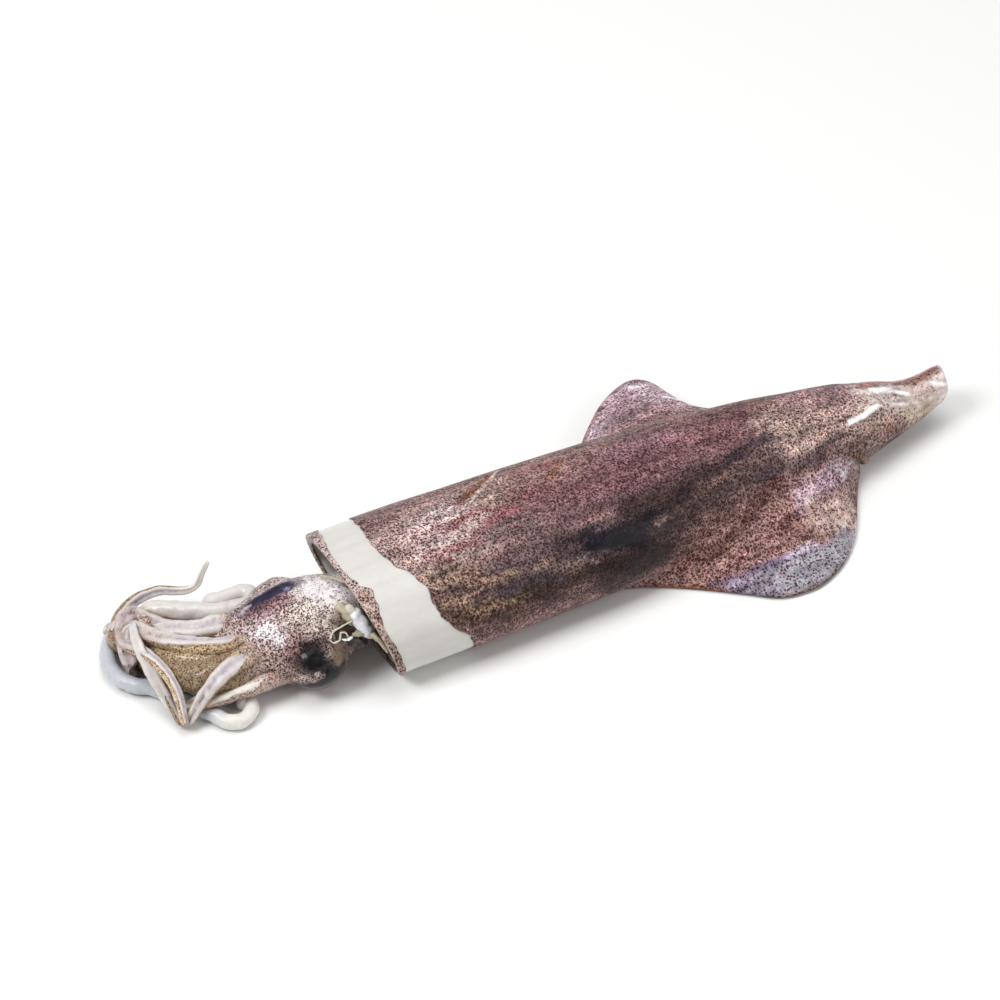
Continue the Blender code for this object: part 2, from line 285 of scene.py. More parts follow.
def wetSkin(name, look):
    # painted colour, streaks, flecks, several sizes of pigment spot, and a wet coat over fine bumps
    material = bpy.data.materials.new(name)
    material.use_nodes = True
    tree = material.node_tree
    shader = tree.nodes["Principled BSDF"]
    place = node(tree, "ShaderNodeTexCoord").outputs["Object"]
    painted = node(tree, "ShaderNodeAttribute", attribute_name="paint")
    colour = painted.outputs["Color"]
    if look["streaks"]:
        lines = node(tree, "ShaderNodeGroup", node_tree=streaks)
        tree.links.new(place, lines.inputs["Vector"])
        for sign, tint in ((-1, look["streakDark"]), (1, look["streakPale"])):
            share = maths(tree, "MULTIPLY", lines.outputs[0], sign * look["streaks"], clamp=True)
            colour = mixed(tree, share, colour, (*tint, 1), "MULTIPLY")
    # mottling, from broad patches down to flecks finer than the spots
    fleck = node(tree, "ShaderNodeTexNoise", {"Vector": place, "Scale": look["fleckScale"], "Detail": 5.0,
                                             "Roughness": 0.82})
    gain = node(tree, "ShaderNodeMapRange", {"Value": fleck.outputs[0], "From Min": 0.35, "From Max": 0.65,
                                            "To Min": 1 - look["flecks"], "To Max": 1 + look["flecks"]})
    grey = node(tree, "ShaderNodeCombineColor", {0: gain.outputs[0], 1: gain.outputs[0], 2: gain.outputs[0]})
    pigment = maths(tree, "MULTIPLY_ADD", painted.outputs["Alpha"], 0.75, 0.4, clamp=True)
    colour = mixed(tree, pigment, colour, grey.outputs[0], "MULTIPLY")
    for scale, radius, tint, share, least in look["spots"]:
        amount = maths(tree, "MULTIPLY_ADD", painted.outputs["Alpha"], share, -least, clamp=True)
        dots = node(tree, "ShaderNodeGroup", node_tree=spots)
        for key, value in (("Vector", place), ("Amount", amount)):
            tree.links.new(value, dots.inputs[key])
        dots.inputs["Scale"].default_value = scale
        dots.inputs["Radius"].default_value = radius
        colour = mixed(tree, dots.outputs[0], colour, (*tint, 1), "MULTIPLY")
    tree.links.new(colour, shader.inputs["Base Color"])
    wet = node(tree, "ShaderNodeTexNoise", {"Vector": place, "Scale": look["bumpScale"], "Detail": 3.0})
    bump = node(tree, "ShaderNodeBump", {"Strength": look["bump"], "Distance": 0.0012, "Height": wet.outputs[0]})
    tree.links.new(bump.outputs[0], shader.inputs["Normal"])
    own = {"Roughness": look["roughness"], "Coat Weight": look["coat"], "Subsurface Weight": look["soft"]}
    for key, value in {**wetness, **own}.items():
        shader.inputs[key].default_value = value
    return material


print("shader groups made")


# mantle: a tapering tube with its two fins in one skin
mantle = {
    # centre line, half width, underside and top at each x
    "sections": [
        (-52, 4.5, 33.0, -0.5, 37.0), (-20, 4.2, 33.0, -0.5, 37.0), (30, 3.0, 31.7, -0.5, 36.5),
        (60, 3.6, 29.5, -0.5, 35.3), (90, 4.6, 26.3, -0.5, 33.4), (120, 5.0, 21.8, -0.3, 30.6),
        (150, 5.0, 16.2, 1.4, 26.9), (166, 4.8, 11.8, 4.0, 23.0), (179, 4.8, 8.6, 6.6, 19.6),
        (188.5, 6.0, 7.4, 8.2, 19.8),
    ],
    "mouthSlant": 11.5, "slantReach": 60.0, "tailSlant": -4.0, "tailReach": 16.0,
    "nearFin": [
        (26, -18, 1.2), (44, -23, 1.2), (60, -32, 1.2), (75, -43, 1.2), (86, -51, 1.2), (97, -53, 1.2),
        (106, -51.5, 1.2), (117, -46, 1.2), (128, -36, 1.2), (138, -21.5, 1.6), (150, -6, 3),
    ],
    "farFin": [
        (34, 24, 2), (50, 36, 5), (62, 47, 9), (74, 57, 10), (85, 63, 10), (93.5, 64.5, 10), (100, 59.5, 9),
        (105, 49, 6), (118, 41, 3), (132, 33, 1.2), (151, 15, 3),
    ],
    "finRoot": (26.0, 152.0), "finThickness": (6.0, 1.5),
    "stations": 250, "underCount": 34, "overCount": 94,
    # where the torn skin starts, by the angle round from the back: minus is the near side
    "tear": [
        (-180, -24), (-110, -24.5), (-89, -28.4), (-77, -34.7), (-65, -37.9), (-58, -38.9), (-46, -38.8),
        (-30, -42.2), (-17, -45.4), (10, -47), (60, -44), (110, -36), (180, -24),
    ],
    "wall": 3.2, "mouthDepth": 16.0, "skinDepth": 0.5,
}


def mantleSize(x):
    return valueAt(mantle["sections"], x)


def slantAt(x):
    first, last = mantle["sections"][0][0], mantle["sections"][-1][0]
    return (mantle["mouthSlant"] * (1 - blend(x, first, first + mantle["slantReach"]))
            + mantle["tailSlant"] * blend(x, last - mantle["tailReach"], last))


finEdges = {-1: smoothLine(mantle["nearFin"], 260), 1: smoothLine(mantle["farFin"], 260)}


def halfSlice(x, side):
    # one side of the section at x: from the belly line out to the edge, and from the edge over to the back line
    size = mantleSize(x)
    centre, halfWidth, low, top = size
    middle = low + 0.42 * (top - low)
    angles = np.radians(np.linspace(-90, 90, 181))
    out, up, _ = ringAt(size, angles)
    body = np.column_stack([out, up])
    edge = finEdges[side]
    under, over = body[:31], body[30:]
    if edge[0, 0] <= x <= edge[-1, 0]:
        free = abs(np.interp(x, edge[:, 0], edge[:, 1]) - centre) - 0.6
        freeUp = np.interp(x, edge[:, 0], edge[:, 2])
        front, rear = mantle["finRoot"]
        root = 0.66 * math.sin(math.pi * np.clip((x - front) / (rear - front), 0.001, 0.999)) ** 0.5 * halfWidth
        rootUp = low + (top - low) * 0.6
        if free > root + 1:
            t = np.linspace(0, 1, 90)
            line = np.column_stack([root + (free - root) * t,
                                    freeUp + (rootUp - freeUp) * (1 - t ** 1.3) ** 1.2])
            run = np.gradient(line, axis=0)
            normal = np.column_stack([-run[:, 1], run[:, 0]]) / np.linalg.norm(run, axis=1)[:, None]
            thick, thin = mantle["finThickness"]
            half = (thick + (thin - thick) * t)[:, None] / 2
            upper, bottom = line + normal * half, line - normal * half

            def outside(points):
                o, u = points[:, 0] / halfWidth, points[:, 1] - middle
                power = np.where(u >= 0, 2.1, 2.7)
                return np.abs(o) ** power + np.abs(u / np.where(u >= 0, top - middle, middle - low)) ** power > 1
            overFrom = np.flatnonzero(~outside(upper))
            underFrom = np.flatnonzero(~outside(bottom))
            overFrom = overFrom[-1] + 1 if len(overFrom) else 0
            underFrom = underFrom[-1] + 1 if len(underFrom) else 0
            height = np.interp(body[:, 0], line[:, 0], line[:, 1])
            lean = np.interp(body[:, 0], line[:, 0], half[:, 0] / np.maximum(normal[:, 1], 0.3))
            held = np.flatnonzero((body[:, 0] > root) & (body[:, 0] < free)
                                  & (np.abs(body[:, 1] - height) < np.maximum(lean, 0.8)) & (np.arange(181) < 120))
            if overFrom < 89 and len(held):
                tip = line[-1] + (thin / 2, 0)
                under = np.vstack([body[:held[0]], np.maximum(bottom[underFrom:], (-99, 0.1)), tip])
                over = np.vstack([tip, upper[overFrom:][::-1], body[held[-1] + 1:]])
    return spaced(under, mantle["underCount"]), spaced(over, mantle["overCount"])


def eased(rows, passes, keep):
    # softens the creases round each ring, leaving the columns in keep as they are
    for _ in range(passes):
        near = (np.roll(rows, 1, axis=1) + np.roll(rows, -1, axis=1)) / 2
        near[:, keep] = rows[:, keep]
        rows = rows * 0.5 + near * 0.5
    return rows


def buildMantle():
    first, last = -34.0, 187.6
    stations = np.linspace(first, last, mantle["stations"])
    rings = []
    for x in stations:
        size = mantleSize(x)
        centre, _, low, top = size
        halves = []
        for side in (-1, 1):
            under, over = halfSlice(x, side)
            half = np.vstack([under, over[1:]])
            share = (half[:, 1] - low) / (top - low)
            halves.append(np.column_stack([x - slantAt(x) * share, centre + side * half[:, 0], half[:, 1]]))
        near, far = halves
        rings.append(np.vstack([near, far[::-1][1:-1]]))
    rings = np.array(rings)
    edgeNear = mantle["underCount"] - 1
    edgeFar = rings.shape[1] - edgeNear
    keep = [(e + k) % rings.shape[1] for e in (edgeNear, edgeFar) for k in range(-3, 4)]
    rings = eased(rings, 10, keep)
    # smooth along the body too, so the fins grow out of it without a step
    for _ in range(3):
        rings[1:-1] = rings[1:-1] * 0.5 + (rings[:-2] + rings[2:]) * 0.25

    # the torn front edge
    size = mantleSize(first)
    middle = size[2] + 0.42 * (size[3] - size[2])
    around = np.degrees(np.arctan2(rings[0, :, 1] - size[0], rings[0, :, 2] - middle))
    tear = np.array([valueAt(mantle["tear"], a)[0] for a in around])
    tear += np.array([0.9 * noise.noise(Vector((a * 0.11, 3, 0))) + 0.5 * noise.noise(Vector((a * 0.4, 9, 0)))
                      for a in around])
    fade = 1 - blend(stations, first, first + 45)
    rings[:, :, 0] += fade[:, None] * (tear - rings[0, :, 0])[None, :]
    # the skin's thickness at the tear: a step down on to the flesh, and a hem under it
    hem = []
    for deep, back in ((1.4, 9.0), (0.75, 1.2), (0.55, 0.15), (0.3, -0.1)):
        ring = rings[0].copy()
        inward = np.column_stack([np.zeros(len(ring)), size[0] - ring[:, 1], middle - ring[:, 2]])
        ring += inward / np.linalg.norm(inward, axis=1)[:, None] * deep
        ring[:, 0] += back
        ring[:, 2] = np.maximum(ring[:, 2], 0.02 + deep * 0.05)
        hem.append(ring)
    # the tail's blunt end, with its upper far corner drawn out to a point
    centre, _, low, top = mantleSize(last)
    turn = np.degrees(np.arctan2(rings[..., 1] - centre, rings[..., 2] - low - 0.4 * (top - low)))
    drawn = np.exp(-np.abs((turn - 14) / 30) ** 1.4) * (blend(stations, last - 14, last + 1) ** 1.5)[:, None]
    rings[..., 2] += 1.9 * drawn
    end = []
    for share, on in ((0.985, 0.35), (0.93, 0.6), (0.5, 0.5), (0.2, 0.4)):
        ring = rings[-1].copy()
        heart = ring.mean(axis=0)
        ring = heart + (ring - heart) * share
        ring[:, 0] += on * 0.9
        end.append(ring)
    rings = np.concatenate([np.array(hem), rings, np.array(end)])

    # soft ripples along the skin, always inward
    ripples = np.array([[noise.noise(Vector((p[0] * 0.035, p[1] * 0.16, p[2] * 0.16 + 5))) for p in ring]
                        for ring in rings])
    run = np.gradient(rings, axis=0)
    side = np.roll(rings, -1, axis=1) - np.roll(rings, 1, axis=1)
    normal = np.cross(side, run)
    normal /= np.maximum(np.linalg.norm(normal, axis=2), 1e-6)[..., None]
    heart = rings.mean(axis=1, keepdims=True)
    normal *= np.sign(((rings - heart) * normal).sum(axis=2).mean())
    depth = 0.55 * np.clip(ripples + 0.35, 0, 1) * blend(rings[..., 2], 1.5, 6)
    depth *= blend(np.arange(len(rings)), 6, 45)[:, None]
    depth[:, keep] *= 0.2
    rings -= normal * depth[..., None]
    rings[..., 2] = np.maximum(rings[..., 2], 0.02)
    return gridPiece(rings)


mantleLook = {
    "streaks": 0.6, "streakDark": (0.42, 0.36, 0.38), "streakPale": (1.7, 1.62, 1.55),
    "fleckScale": 300.0, "flecks": 0.52,
    # scale, radius, tint, how many for the painted amount, less this; the last kind only where it is densest
    "spots": [(1080.0, 0.60, (0.25, 0.12, 0.13), 1.3, 0), (1700.0, 0.56, (0.40, 0.22, 0.23), 1.3, 0.3),
              (800.0, 0.44, (1.78, 1.78, 1.76), 0.55, 0), (640.0, 0.52, (0.34, 0.23, 0.20), 5.0, 4.2)],
    "bump": 0.6, "bumpScale": 420.0, "roughness": 0.5, "coat": 0.16, "soft": 0.05,
}

# colour strokes on the skin: path, reach, softness, colour, strength, how many spots
mantlePaint = [
    # pale rose over the shoulder, tan towards the tail
    ([(-45, 0, 37), (-15, 6, 37)], 13, 9, (188, 171, 167), 0.9, 0.85),
    ([(-40, -15, 33), (-28, -14, 34)], 5, 4, (178, 160, 147), 0.7, 1.0),
    ([(-6, 12, 36), (12, 16, 35), (28, 12, 36)], 8, 6, (174, 156, 146), 0.8, 0.75),
    ([(-4, -6, 36.5), (20, -8, 36), (50, -4, 35.5)], 7, 6, (127, 106, 106), 0.8, 0.85),
    ([(20, 3, 37), (45, 0, 36), (75, 4, 34), (110, 9, 31)], 12, 8, (130, 97, 101), 0.9, 0.85),
    ([(116, -4, 30.5), (130, 0, 28), (150, -2, 26)], 12, 6, (189, 171, 162), 0.9, 0.85),
    ([(132, 10, 28), (152, 9, 26)], 7, 5, (162, 132, 138), 0.75, 0.8),
    ([(-38, -13, 34), (-16, -19, 31), (1, -24, 27), (17, -25, 26)], 4, 3, (150, 133, 116), 0.8, 1.0),
    # near flank: warm brown, mauve along its foot
    ([(-34, -24, 27), (-24, -26, 24), (-9, -28, 21), (11, -29, 17), (36, -28, 17)], 7, 5, (110, 91, 78), 0.95, 1.0),
    ([(2, -27, 22), (30, -28, 18), (50, -27, 19)], 6, 4, (70, 54, 48), 0.88, 0.9),
    ([(-24, -28.5, 17), (0, -29, 12), (24, -29, 9), (50, -28, 9)], 5, 4, (148, 120, 117), 0.8, 0.85),
    ([(28, -28, 15), (45, -27, 17), (60, -26, 17)], 5, 3, (69, 52, 49), 0.85, 0.9),
    # dark bands along the back
    ([(-12, -19, 31), (4, -19, 31), (21, -20, 30), (42, -22, 27.5)], 5, 4, (97, 82, 87), 0.85, 0.8),
    ([(46, -19, 29.5), (60, -17, 30), (76, -15, 29.5)], 10, 4, (61, 46, 44), 0.92, 0.8),
    ([(41, -24, 26), (57.6, -18.3, 29.2), (73.5, -12.5, 31), (91, -7.9, 31)], 3.2, 2.4, (52, 41, 43), 0.85, 0.8),
    ([(76, -17, 28), (92, -14, 28), (104, -15, 25)], 5, 4, (96, 81, 78), 0.85, 0.9),
    ([(50, 12, 35.5), (62, 11, 34.7), (76, 11, 33.5)], 4, 3.5, (172, 138, 146), 0.7, 0.85),
    ([(16, 9, 36.5), (34, 8, 36)], 4, 3.5, (162, 134, 130), 0.6, 0.85),
    ([(88, -8, 31.5), (101, -5, 31), (111, -3, 30)], 2.6, 2.2, (74, 60, 70), 0.8, 0.85),
    ([(114, -1.5, 30), (123, -5, 28.7), (132, -6, 27)], 2.8, 2.2, (190, 174, 160), 0.7, 0.85),
    ([(98, -15, 25), (110, -15, 24), (121, -14, 22), (138, -9, 23)], 2.2, 1.8, (86, 73, 83), 0.75, 0.85),
    ([(20, -26, 24), (34, -27.5, 20), (48, -27, 19)], 3.2, 2.4, (51, 39, 39), 0.85, 0.8),
    ([(-29, -21, 30), (-15, -25, 26), (0, -25, 26), (9, -26, 24)], 1.9, 1.6, (74, 63, 72), 0.75, 0.9),
    ([(-34, -24.5, 25), (-24, -27, 22), (-12, -28.5, 19)], 1.6, 1.4, (70, 54, 48), 0.8, 1.0),
    # near fin, its pale margin beyond the fold, and the thin brown edge in front
    ([(70, -30, 12), (95, -32, 12), (118, -30, 10)], 13, 6, (176, 144, 137), 0.85, 0.95),
    ([(84, -21, 22), (70, -26, 18), (60, -27, 12)], 3.5, 3, (108, 83, 78), 0.8, 0.9),
    ([(104, -17, 21), (88, -24, 18), (71, -30, 12), (58, -29, 8)], 2.8, 2.2, (112, 80, 76), 0.85, 1.0),
    ([(119, -23, 13.5), (102, -30, 14), (78, -35, 10)], 2.0, 1.8, (139, 102, 100), 0.75, 1.0),
    ([(124, -20, 13), (110, -27, 14.5), (90, -32, 13)], 1.2, 1.0, (135, 98, 99), 0.7, 1.0),
    ([(133, -16, 12), (124, -18, 14), (112, -23, 15)], 4.5, 3, (218, 196, 211), 0.8, 0.65),
    ([(117, -31, 10), (129, -30, 5)], 7, 4, (207, 184, 174), 0.85, 0.52),
    # painted highlights: white glints on the near fin and a bluish-white one at its rear edge
    ([(112, -24, 15.5), (117, -25.5, 13.5)], 1.0, 0.8, (236, 220, 214), 0.8, 0.3),
    ([(121, -34, 7), (125, -33, 5.5)], 1.2, 1, (238, 226, 220), 0.8, 0.2),
    ([(131, -14, 14), (136, -16.5, 9.5), (140, -13, 11)], 1.4, 1, (224, 218, 232), 0.85, 0.2),
    ([(138.5, -12.5, 16), (142, -12.4, 12.5), (146.5, -11, 8.5)], 1.4, 1, (70, 46, 44), 0.9, 0.6),
    # far fin
    ([(58, 42, 10), (80, 55, 12), (92, 58, 12), (98, 42, 16)], 9, 5, (206, 188, 200), 0.88, 0.6),
    ([(76, 48, 12), (86, 55, 13.5)], 3.5, 3.0, (160, 132, 142), 0.7, 0.8),
    ([(62, 36, 14), (80, 40, 16), (95, 38, 16)], 5, 5, (175, 149, 157), 0.7, 0.75),
    ([(48, 33, 6), (70, 55, 10), (84, 63, 10)], 2.0, 1.4, (142, 108, 104), 0.75, 0.6),
    # tail: pale and see-through at its end
    ([(158, 3, 24), (172, 4, 21)], 9, 5, (216, 202, 196), 0.85, 0.32),
    ([(172, -3, 14), (184, -1, 15)], 6, 5, (200, 182, 164), 0.8, 0.25),
    ([(176, 4, 18), (188, 5, 16)], 7, 4, (220, 210, 206), 0.85, 0.15),
    ([(152, -7, 18), (162, -5, 16)], 4, 3, (182, 158, 142), 0.7, 0.6),
    ([(159, -8, 16.4), (163, -8, 15)], 2.2, 2, (168, 130, 114), 0.7, 0.5),
    ([(178, -3, 15), (183, -3, 11)], 2.6, 2.2, (186, 166, 138), 0.75, 0.1),
    ([(158, 9.5, 23.5), (170, 9.5, 21), (179, 9.5, 19), (191, 7.5, 20)], 2.6, 1.8, (152, 100, 94), 0.88, 0.5),
    ([(172, 6.4, 21.2), (180, 6.5, 20), (188, 7, 19.8)], 3.0, 2.2, (146, 106, 98), 0.9, 0.6),
    ([(175, 1.5, 19.6), (184, 0.5, 18.4)], 2.6, 2.2, (176, 156, 148), 0.8, 0.3),
    ([(193, 6, 20), (190, 1, 18), (187, -2, 12)], 2.2, 1.2, (214, 204, 202), 0.9, 0.05),
    # painted shade along the tail's underside
    ([(148, -11, 8), (153, -10, 8.5), (160, -8, 8)], 1.6, 1.4, (84, 60, 54), 0.8, 0.6),
    # the belly that can't be seen is paler, with fewer spots
    ([(-20, 4, -2), (60, 4, -2), (140, 5, 0)], 19, 9, (196, 178, 174), 0.75, 0.35),
    # dense dark spots along the torn edge
    ([(-43, -18, 31.5), (-40.5, -23, 28), (-38, -26.5, 24), (-36.5, -28.5, 18), (-29, -28.5, 11)], 1.8, 1.4,
     (126, 104, 94), 0.85, 1.1),
]
# broken marks at a finer grain: the navy patch on the side and its specks
mantleBroken = [
    ([(14, -18, 32), (32, -21, 29.5), (50, -20, 29)], 5.5, 4.5, (56, 45, 50), 0.75, 0.9),
    ([(25, -19.5, 30.5), (33, -22, 28.5), (42, -24, 26)], 3.6, 3.0, (22, 17, 30), 0.93, 0.9),
    ([(30, -20.5, 30), (38, -22.5, 28)], 2.2, 1.6, (17, 13, 27), 0.9, 0.9),
    ([(24, -21.4, 29), (30, -22.4, 28.3), (36, -22, 28.2)], 1.9, 1.5, (12, 8, 20), 0.92, 0.9),
    ([(26, -19.4, 30.6), (29.5, -20.4, 29.9)], 0.9, 1.0, (46, 39, 62), 0.7, 0.7),
    ([(38, -21, 29), (46, -20, 29.5), (51, -17.5, 30.5)], 1.7, 1.5, (22, 17, 28), 0.88, 0.9),
    ([(28, -25.5, 24), (38, -26.5, 22), (46, -26.5, 21)], 2.4, 2.2, (46, 32, 29), 0.75, 0.9),
    # rose clusters over the shoulder
    ([(-22, 3, 37), (-11, 6, 37)], 1.4, 1.8, (160, 88, 102), 0.7, 1.0),
    ([(-12, -3, 37), (-2, 1, 37), (6, 2, 37)], 1.6, 2.0, (162, 94, 108), 0.65, 1.0),
    ([(-9, 7.5, 36.7), (1, 4.5, 36.8)], 1.6, 2.0, (162, 98, 110), 0.6, 1.0),
    ([(-31, -3.5, 36.5), (-22, -5.5, 36), (-14, -7, 36)], 1.4, 1.8, (166, 98, 112), 0.6, 1.0),
    ([(-28, 5, 36.8), (-21, 7.5, 36.6)], 1.1, 1.4, (164, 100, 112), 0.5, 1.0),
    ([(14, 21, 33), (29, 17.5, 34)], 2.2, 2, (158, 88, 102), 0.75, 1.0),
    ([(8, 8, 36.6), (18, 5, 36.6)], 1.6, 2, (158, 104, 112), 0.55, 0.9),
    # and pale gaps between them
    ([(-32, 0, 37), (-20, -1.5, 37)], 1.6, 1.8, (206, 196, 196), 0.6, 0.8),
    ([(-16, 1.5, 37), (-7, 3.5, 37)], 1.2, 1.5, (198, 184, 184), 0.55, 0.8),
    ([(-25, -9, 35.5), (-12, -11, 35)], 1.6, 1.8, (196, 184, 176), 0.55, 0.9),
    ([(25, -15.6, 33.4), (33, -17, 32.3), (37, -17, 32)], 0.5, 0.9, (150, 138, 152), 0.6, 0.3),
    # the shoulder's lighter and browner patches
    ([(-27, 9, 36.8), (-18, 12.3, 36.3), (-10, 12.6, 36)], 3.2, 2.8, (228, 214, 217), 0.8, 0.75),
    ([(-33, 0.7, 36.8), (-25, 8, 36.8)], 2.8, 2.4, (206, 186, 182), 0.55, 0.85),
    ([(4, 19, 34.8), (12, 18, 34.6), (20, 17, 34.4)], 2.4, 2.2, (192, 160, 158), 0.6, 0.8),
    ([(-33, -6.5, 35.8), (-26, -9, 35.4)], 1.8, 2.0, (146, 96, 103), 0.6, 1.0),
    ([(-39, -11, 34.6), (-35.5, -15.5, 33)], 2.0, 2.0, (196, 172, 158), 0.65, 0.95),
    ([(-41.5, -1, 36.6), (-40, -5.5, 36.3)], 1.8, 1.8, (166, 142, 132), 0.6, 0.95),
    # the flank's: tan flecks between dark streaks
    ([(-35.2, -22, 28.9), (-30.3, -22.2, 28.7), (-25.6, -22.4, 28.6)], 1.7, 1.8, (176, 155, 132), 0.7, 1.0),
    ([(-29.1, -25.2, 25.4), (-21.6, -26, 24.5), (-13.2, -26.6, 23.5), (-4.2, -27.1, 22.6)], 1.3, 1.6,
     (170, 150, 124), 0.65, 1.0),
    ([(-18.8, -20.8, 29.8), (-12.9, -20.7, 29.9), (-6.9, -20.7, 30)], 1.2, 1.5, (168, 146, 118), 0.65, 0.95),
    ([(-0.8, -20.6, 30.1), (4.2, -20.9, 29.9), (9.2, -21.4, 29.5)], 1.1, 1.5, (156, 134, 108), 0.6, 0.9),
    ([(-22.9, -21.7, 29.1), (-16.1, -22.4, 28.5), (-9.7, -23.1, 28), (-1.1, -24.1, 26.9), (7.2, -25.1, 25.8)], 1.0, 1.3,
     (58, 44, 56), 0.75, 1.0),
    ([(-2.9, -26.8, 23.3), (7.8, -27.2, 22.5), (18.9, -27.5, 21.5)], 1.2, 1.4, (62, 45, 40), 0.65, 1.0),
    ([(-31.5, -26.6, 22.8), (-24, -27.6, 20.4), (-16, -28.4, 18)], 0.8, 1.2, (72, 54, 50), 0.5, 1.0),
    ([(58, -20, 28.4), (68, -18, 28.8), (76, -17, 28.4)], 1.1, 1.4, (122, 100, 88), 0.6, 0.95),
    ([(62, -12, 32), (72, -9.5, 32), (82, -7.5, 31.8)], 0.9, 1.3, (108, 88, 84), 0.55, 0.95),
    ([(78, -13, 29.6), (88, -11, 29.4), (96, -9.5, 29)], 1.1, 1.3, (140, 120, 110), 0.6, 0.95),
    ([(-24, -19, 31), (-17, -21, 29.6)], 1.8, 1.6, (168, 144, 128), 0.6, 0.95),
    ([(-20, -24.5, 26.4), (-14, -27, 22)], 1.9, 1.8, (130, 104, 92), 0.6, 1.0),
    ([(-9, -27, 22.8), (-3, -26.8, 23.4), (5, -26.5, 23.6)], 2.0, 1.8, (70, 52, 46), 0.7, 0.95),
    ([(-6, -28.8, 16), (4, -28.8, 16.4)], 2.6, 2.2, (96, 74, 72), 0.6, 0.9),
    ([(11, -28.4, 18.4), (19, -28.5, 18)], 2.6, 2.2, (138, 115, 111), 0.65, 0.85),
    ([(20, -23, 28), (24, -25, 26)], 0.7, 1.0, (166, 150, 160), 0.6, 0.5),
    ([(52, -21, 28), (56, -20, 28.5)], 0.9, 1.1, (172, 148, 138), 0.6, 0.7),
]
# crisper marks: the fin's folded margin with painted shadow along its fold, and painted highlights on the far fin and
# the tail
mantleMarks = [
    ([(86, -51, 1), (97, -53, 1), (108, -51, 1)], 13.4, 1.2, (156, 155, 165), 0.97, 0.52),
    ([(73, -43, 1), (81, -47, 1)], 6.5, 1.2, (150, 144, 162), 0.92, 0.6),
    ([(117, -46, 1), (121, -42, 1)], 8.0, 1.2, (160, 159, 168), 0.94, 0.5),
    ([(76, -45, 3), (83, -44.5, 5.5), (89, -43.5, 7)], 2.6, 2.2, (122, 116, 124), 0.75, 0.6),
    # painted shadow along the fin's fold, in two runs
    ([(66, -36, 3), (76, -39, 6), (88, -40.5, 8.4), (98, -40.5, 8.2)], 1.6, 1.2, (106, 92, 120), 0.8, 0.5),
    ([(99, -41.5, 8), (109, -40.5, 7), (119, -37.5, 5), (127, -35, 3)], 0.9, 0.8, (140, 126, 146), 0.6, 0.6),
    ([(94.5, -41.2, 8.4), (100.3, -40, 8.7), (107.1, -38.9, 8.1)], 1.5, 1.1, (198, 188, 206), 0.85, 0.5),
    ([(122, -41.5, 1), (127, -36, 1), (131, -31, 1.5)], 0.9, 0.7, (236, 232, 240), 0.85, 0.0),
    ([(101, -48, 1.5), (103, -48, 1.5)], 1.5, 1.2, (104, 84, 76), 0.75, 0.6),
    ([(80, -49, 1), (90, -53, 1), (104, -53, 1), (114, -48, 1)], 1.9, 1.3, (112, 94, 84), 0.75, 0.6),
    ([(47, -25, 1), (56, -30, 1), (64, -35.5, 1), (70, -40, 1)], 1.5, 1.0, (150, 98, 62), 0.85, 0.7),
    # brown marks and a pale fold line behind the shoulder
    ([(-10.5, 13.6, 36), (-1.7, 17.8, 35), (8.2, 24.6, 32.2)], 1.5, 1.3, (140, 86, 56), 0.85, 0.8),
    ([(23, 9, 36.3), (34, 17.2, 34.3)], 1.0, 1.0, (140, 98, 66), 0.75, 0.7),
    ([(-6, 12.2, 36.2), (3, 18.4, 34.7), (12.5, 26, 31)], 0.7, 0.7, (224, 212, 200), 0.7, 0.3),
    # painted highlights: glints on the far fin, then on the tail
    ([(89.5, 60, 12.3), (92.5, 58, 12.8)], 1.3, 0.9, (250, 244, 250), 0.9, 0.1),
    ([(95.3, 45.8, 15.6), (99.4, 42.5, 15)], 0.9, 0.8, (246, 238, 244), 0.85, 0.1),
    ([(100.3, 37.4, 16.4), (103.5, 39.5, 13)], 0.7, 0.7, (246, 238, 244), 0.85, 0.1),
    ([(160.5, 5.5, 24.3), (166, 4, 22.8)], 1.6, 0.7, (255, 254, 254), 0.95, 0.0),
    ([(166, 4, 22.8), (173.6, 0.9, 20.2)], 0.9, 0.6, (255, 252, 252), 0.95, 0.0),
    ([(142.6, -5.7, 24.8), (148.4, -5, 24.2), (157.7, -1.7, 23.6)], 1.0, 0.6, (255, 254, 254), 0.95, 0.0),
    ([(164.3, -2.1, 21.5), (171, -2.5, 19)], 0.7, 0.5, (250, 246, 248), 0.85, 0.0),
    ([(186, 3, 18.5), (189, 2, 17.5)], 1.2, 0.9, (255, 254, 254), 0.85, 0.0),
]

mantleSkin = finish("mantle_skin", buildMantle(), wetSkin("Mantle skin", mantleLook))
paint(mantleSkin, ((146, 120, 117), 0.85), mantlePaint)
paint(mantleSkin, None, mantleBroken, ragged=1.5, grain=0.4)
paint(mantleSkin, None, mantleMarks, ragged=0.35)
print("mantle skin:", len(mantleSkin.data.polygons), "faces")


# bare flesh: the mantle's wall where the skin is torn back, and the open mouth
fleshLook = {
    "streaks": 0.3, "streakDark": (0.84, 0.82, 0.80), "streakPale": (1.1, 1.1, 1.1),
    "fleckScale": 120.0, "flecks": 0.05, "spots": [(420.0, 0.3, (0.5, 0.4, 0.35), 1.0, 0)],
    "bump": 0.12, "bumpScale": 160.0, "roughness": 0.42, "coat": 0.55, "soft": 0.35,
}


def rimPath(x, inset, start, end):
    # points round the tube's section at x, on the near side for angles from 90 to 270
    angles = np.radians(np.linspace(start, end, 28))
    out, up, share = ringAt(mantleSize(x), angles, inset)
    return np.column_stack([x - mantle["mouthSlant"] * share, mantleSize(x)[0] + out, up])


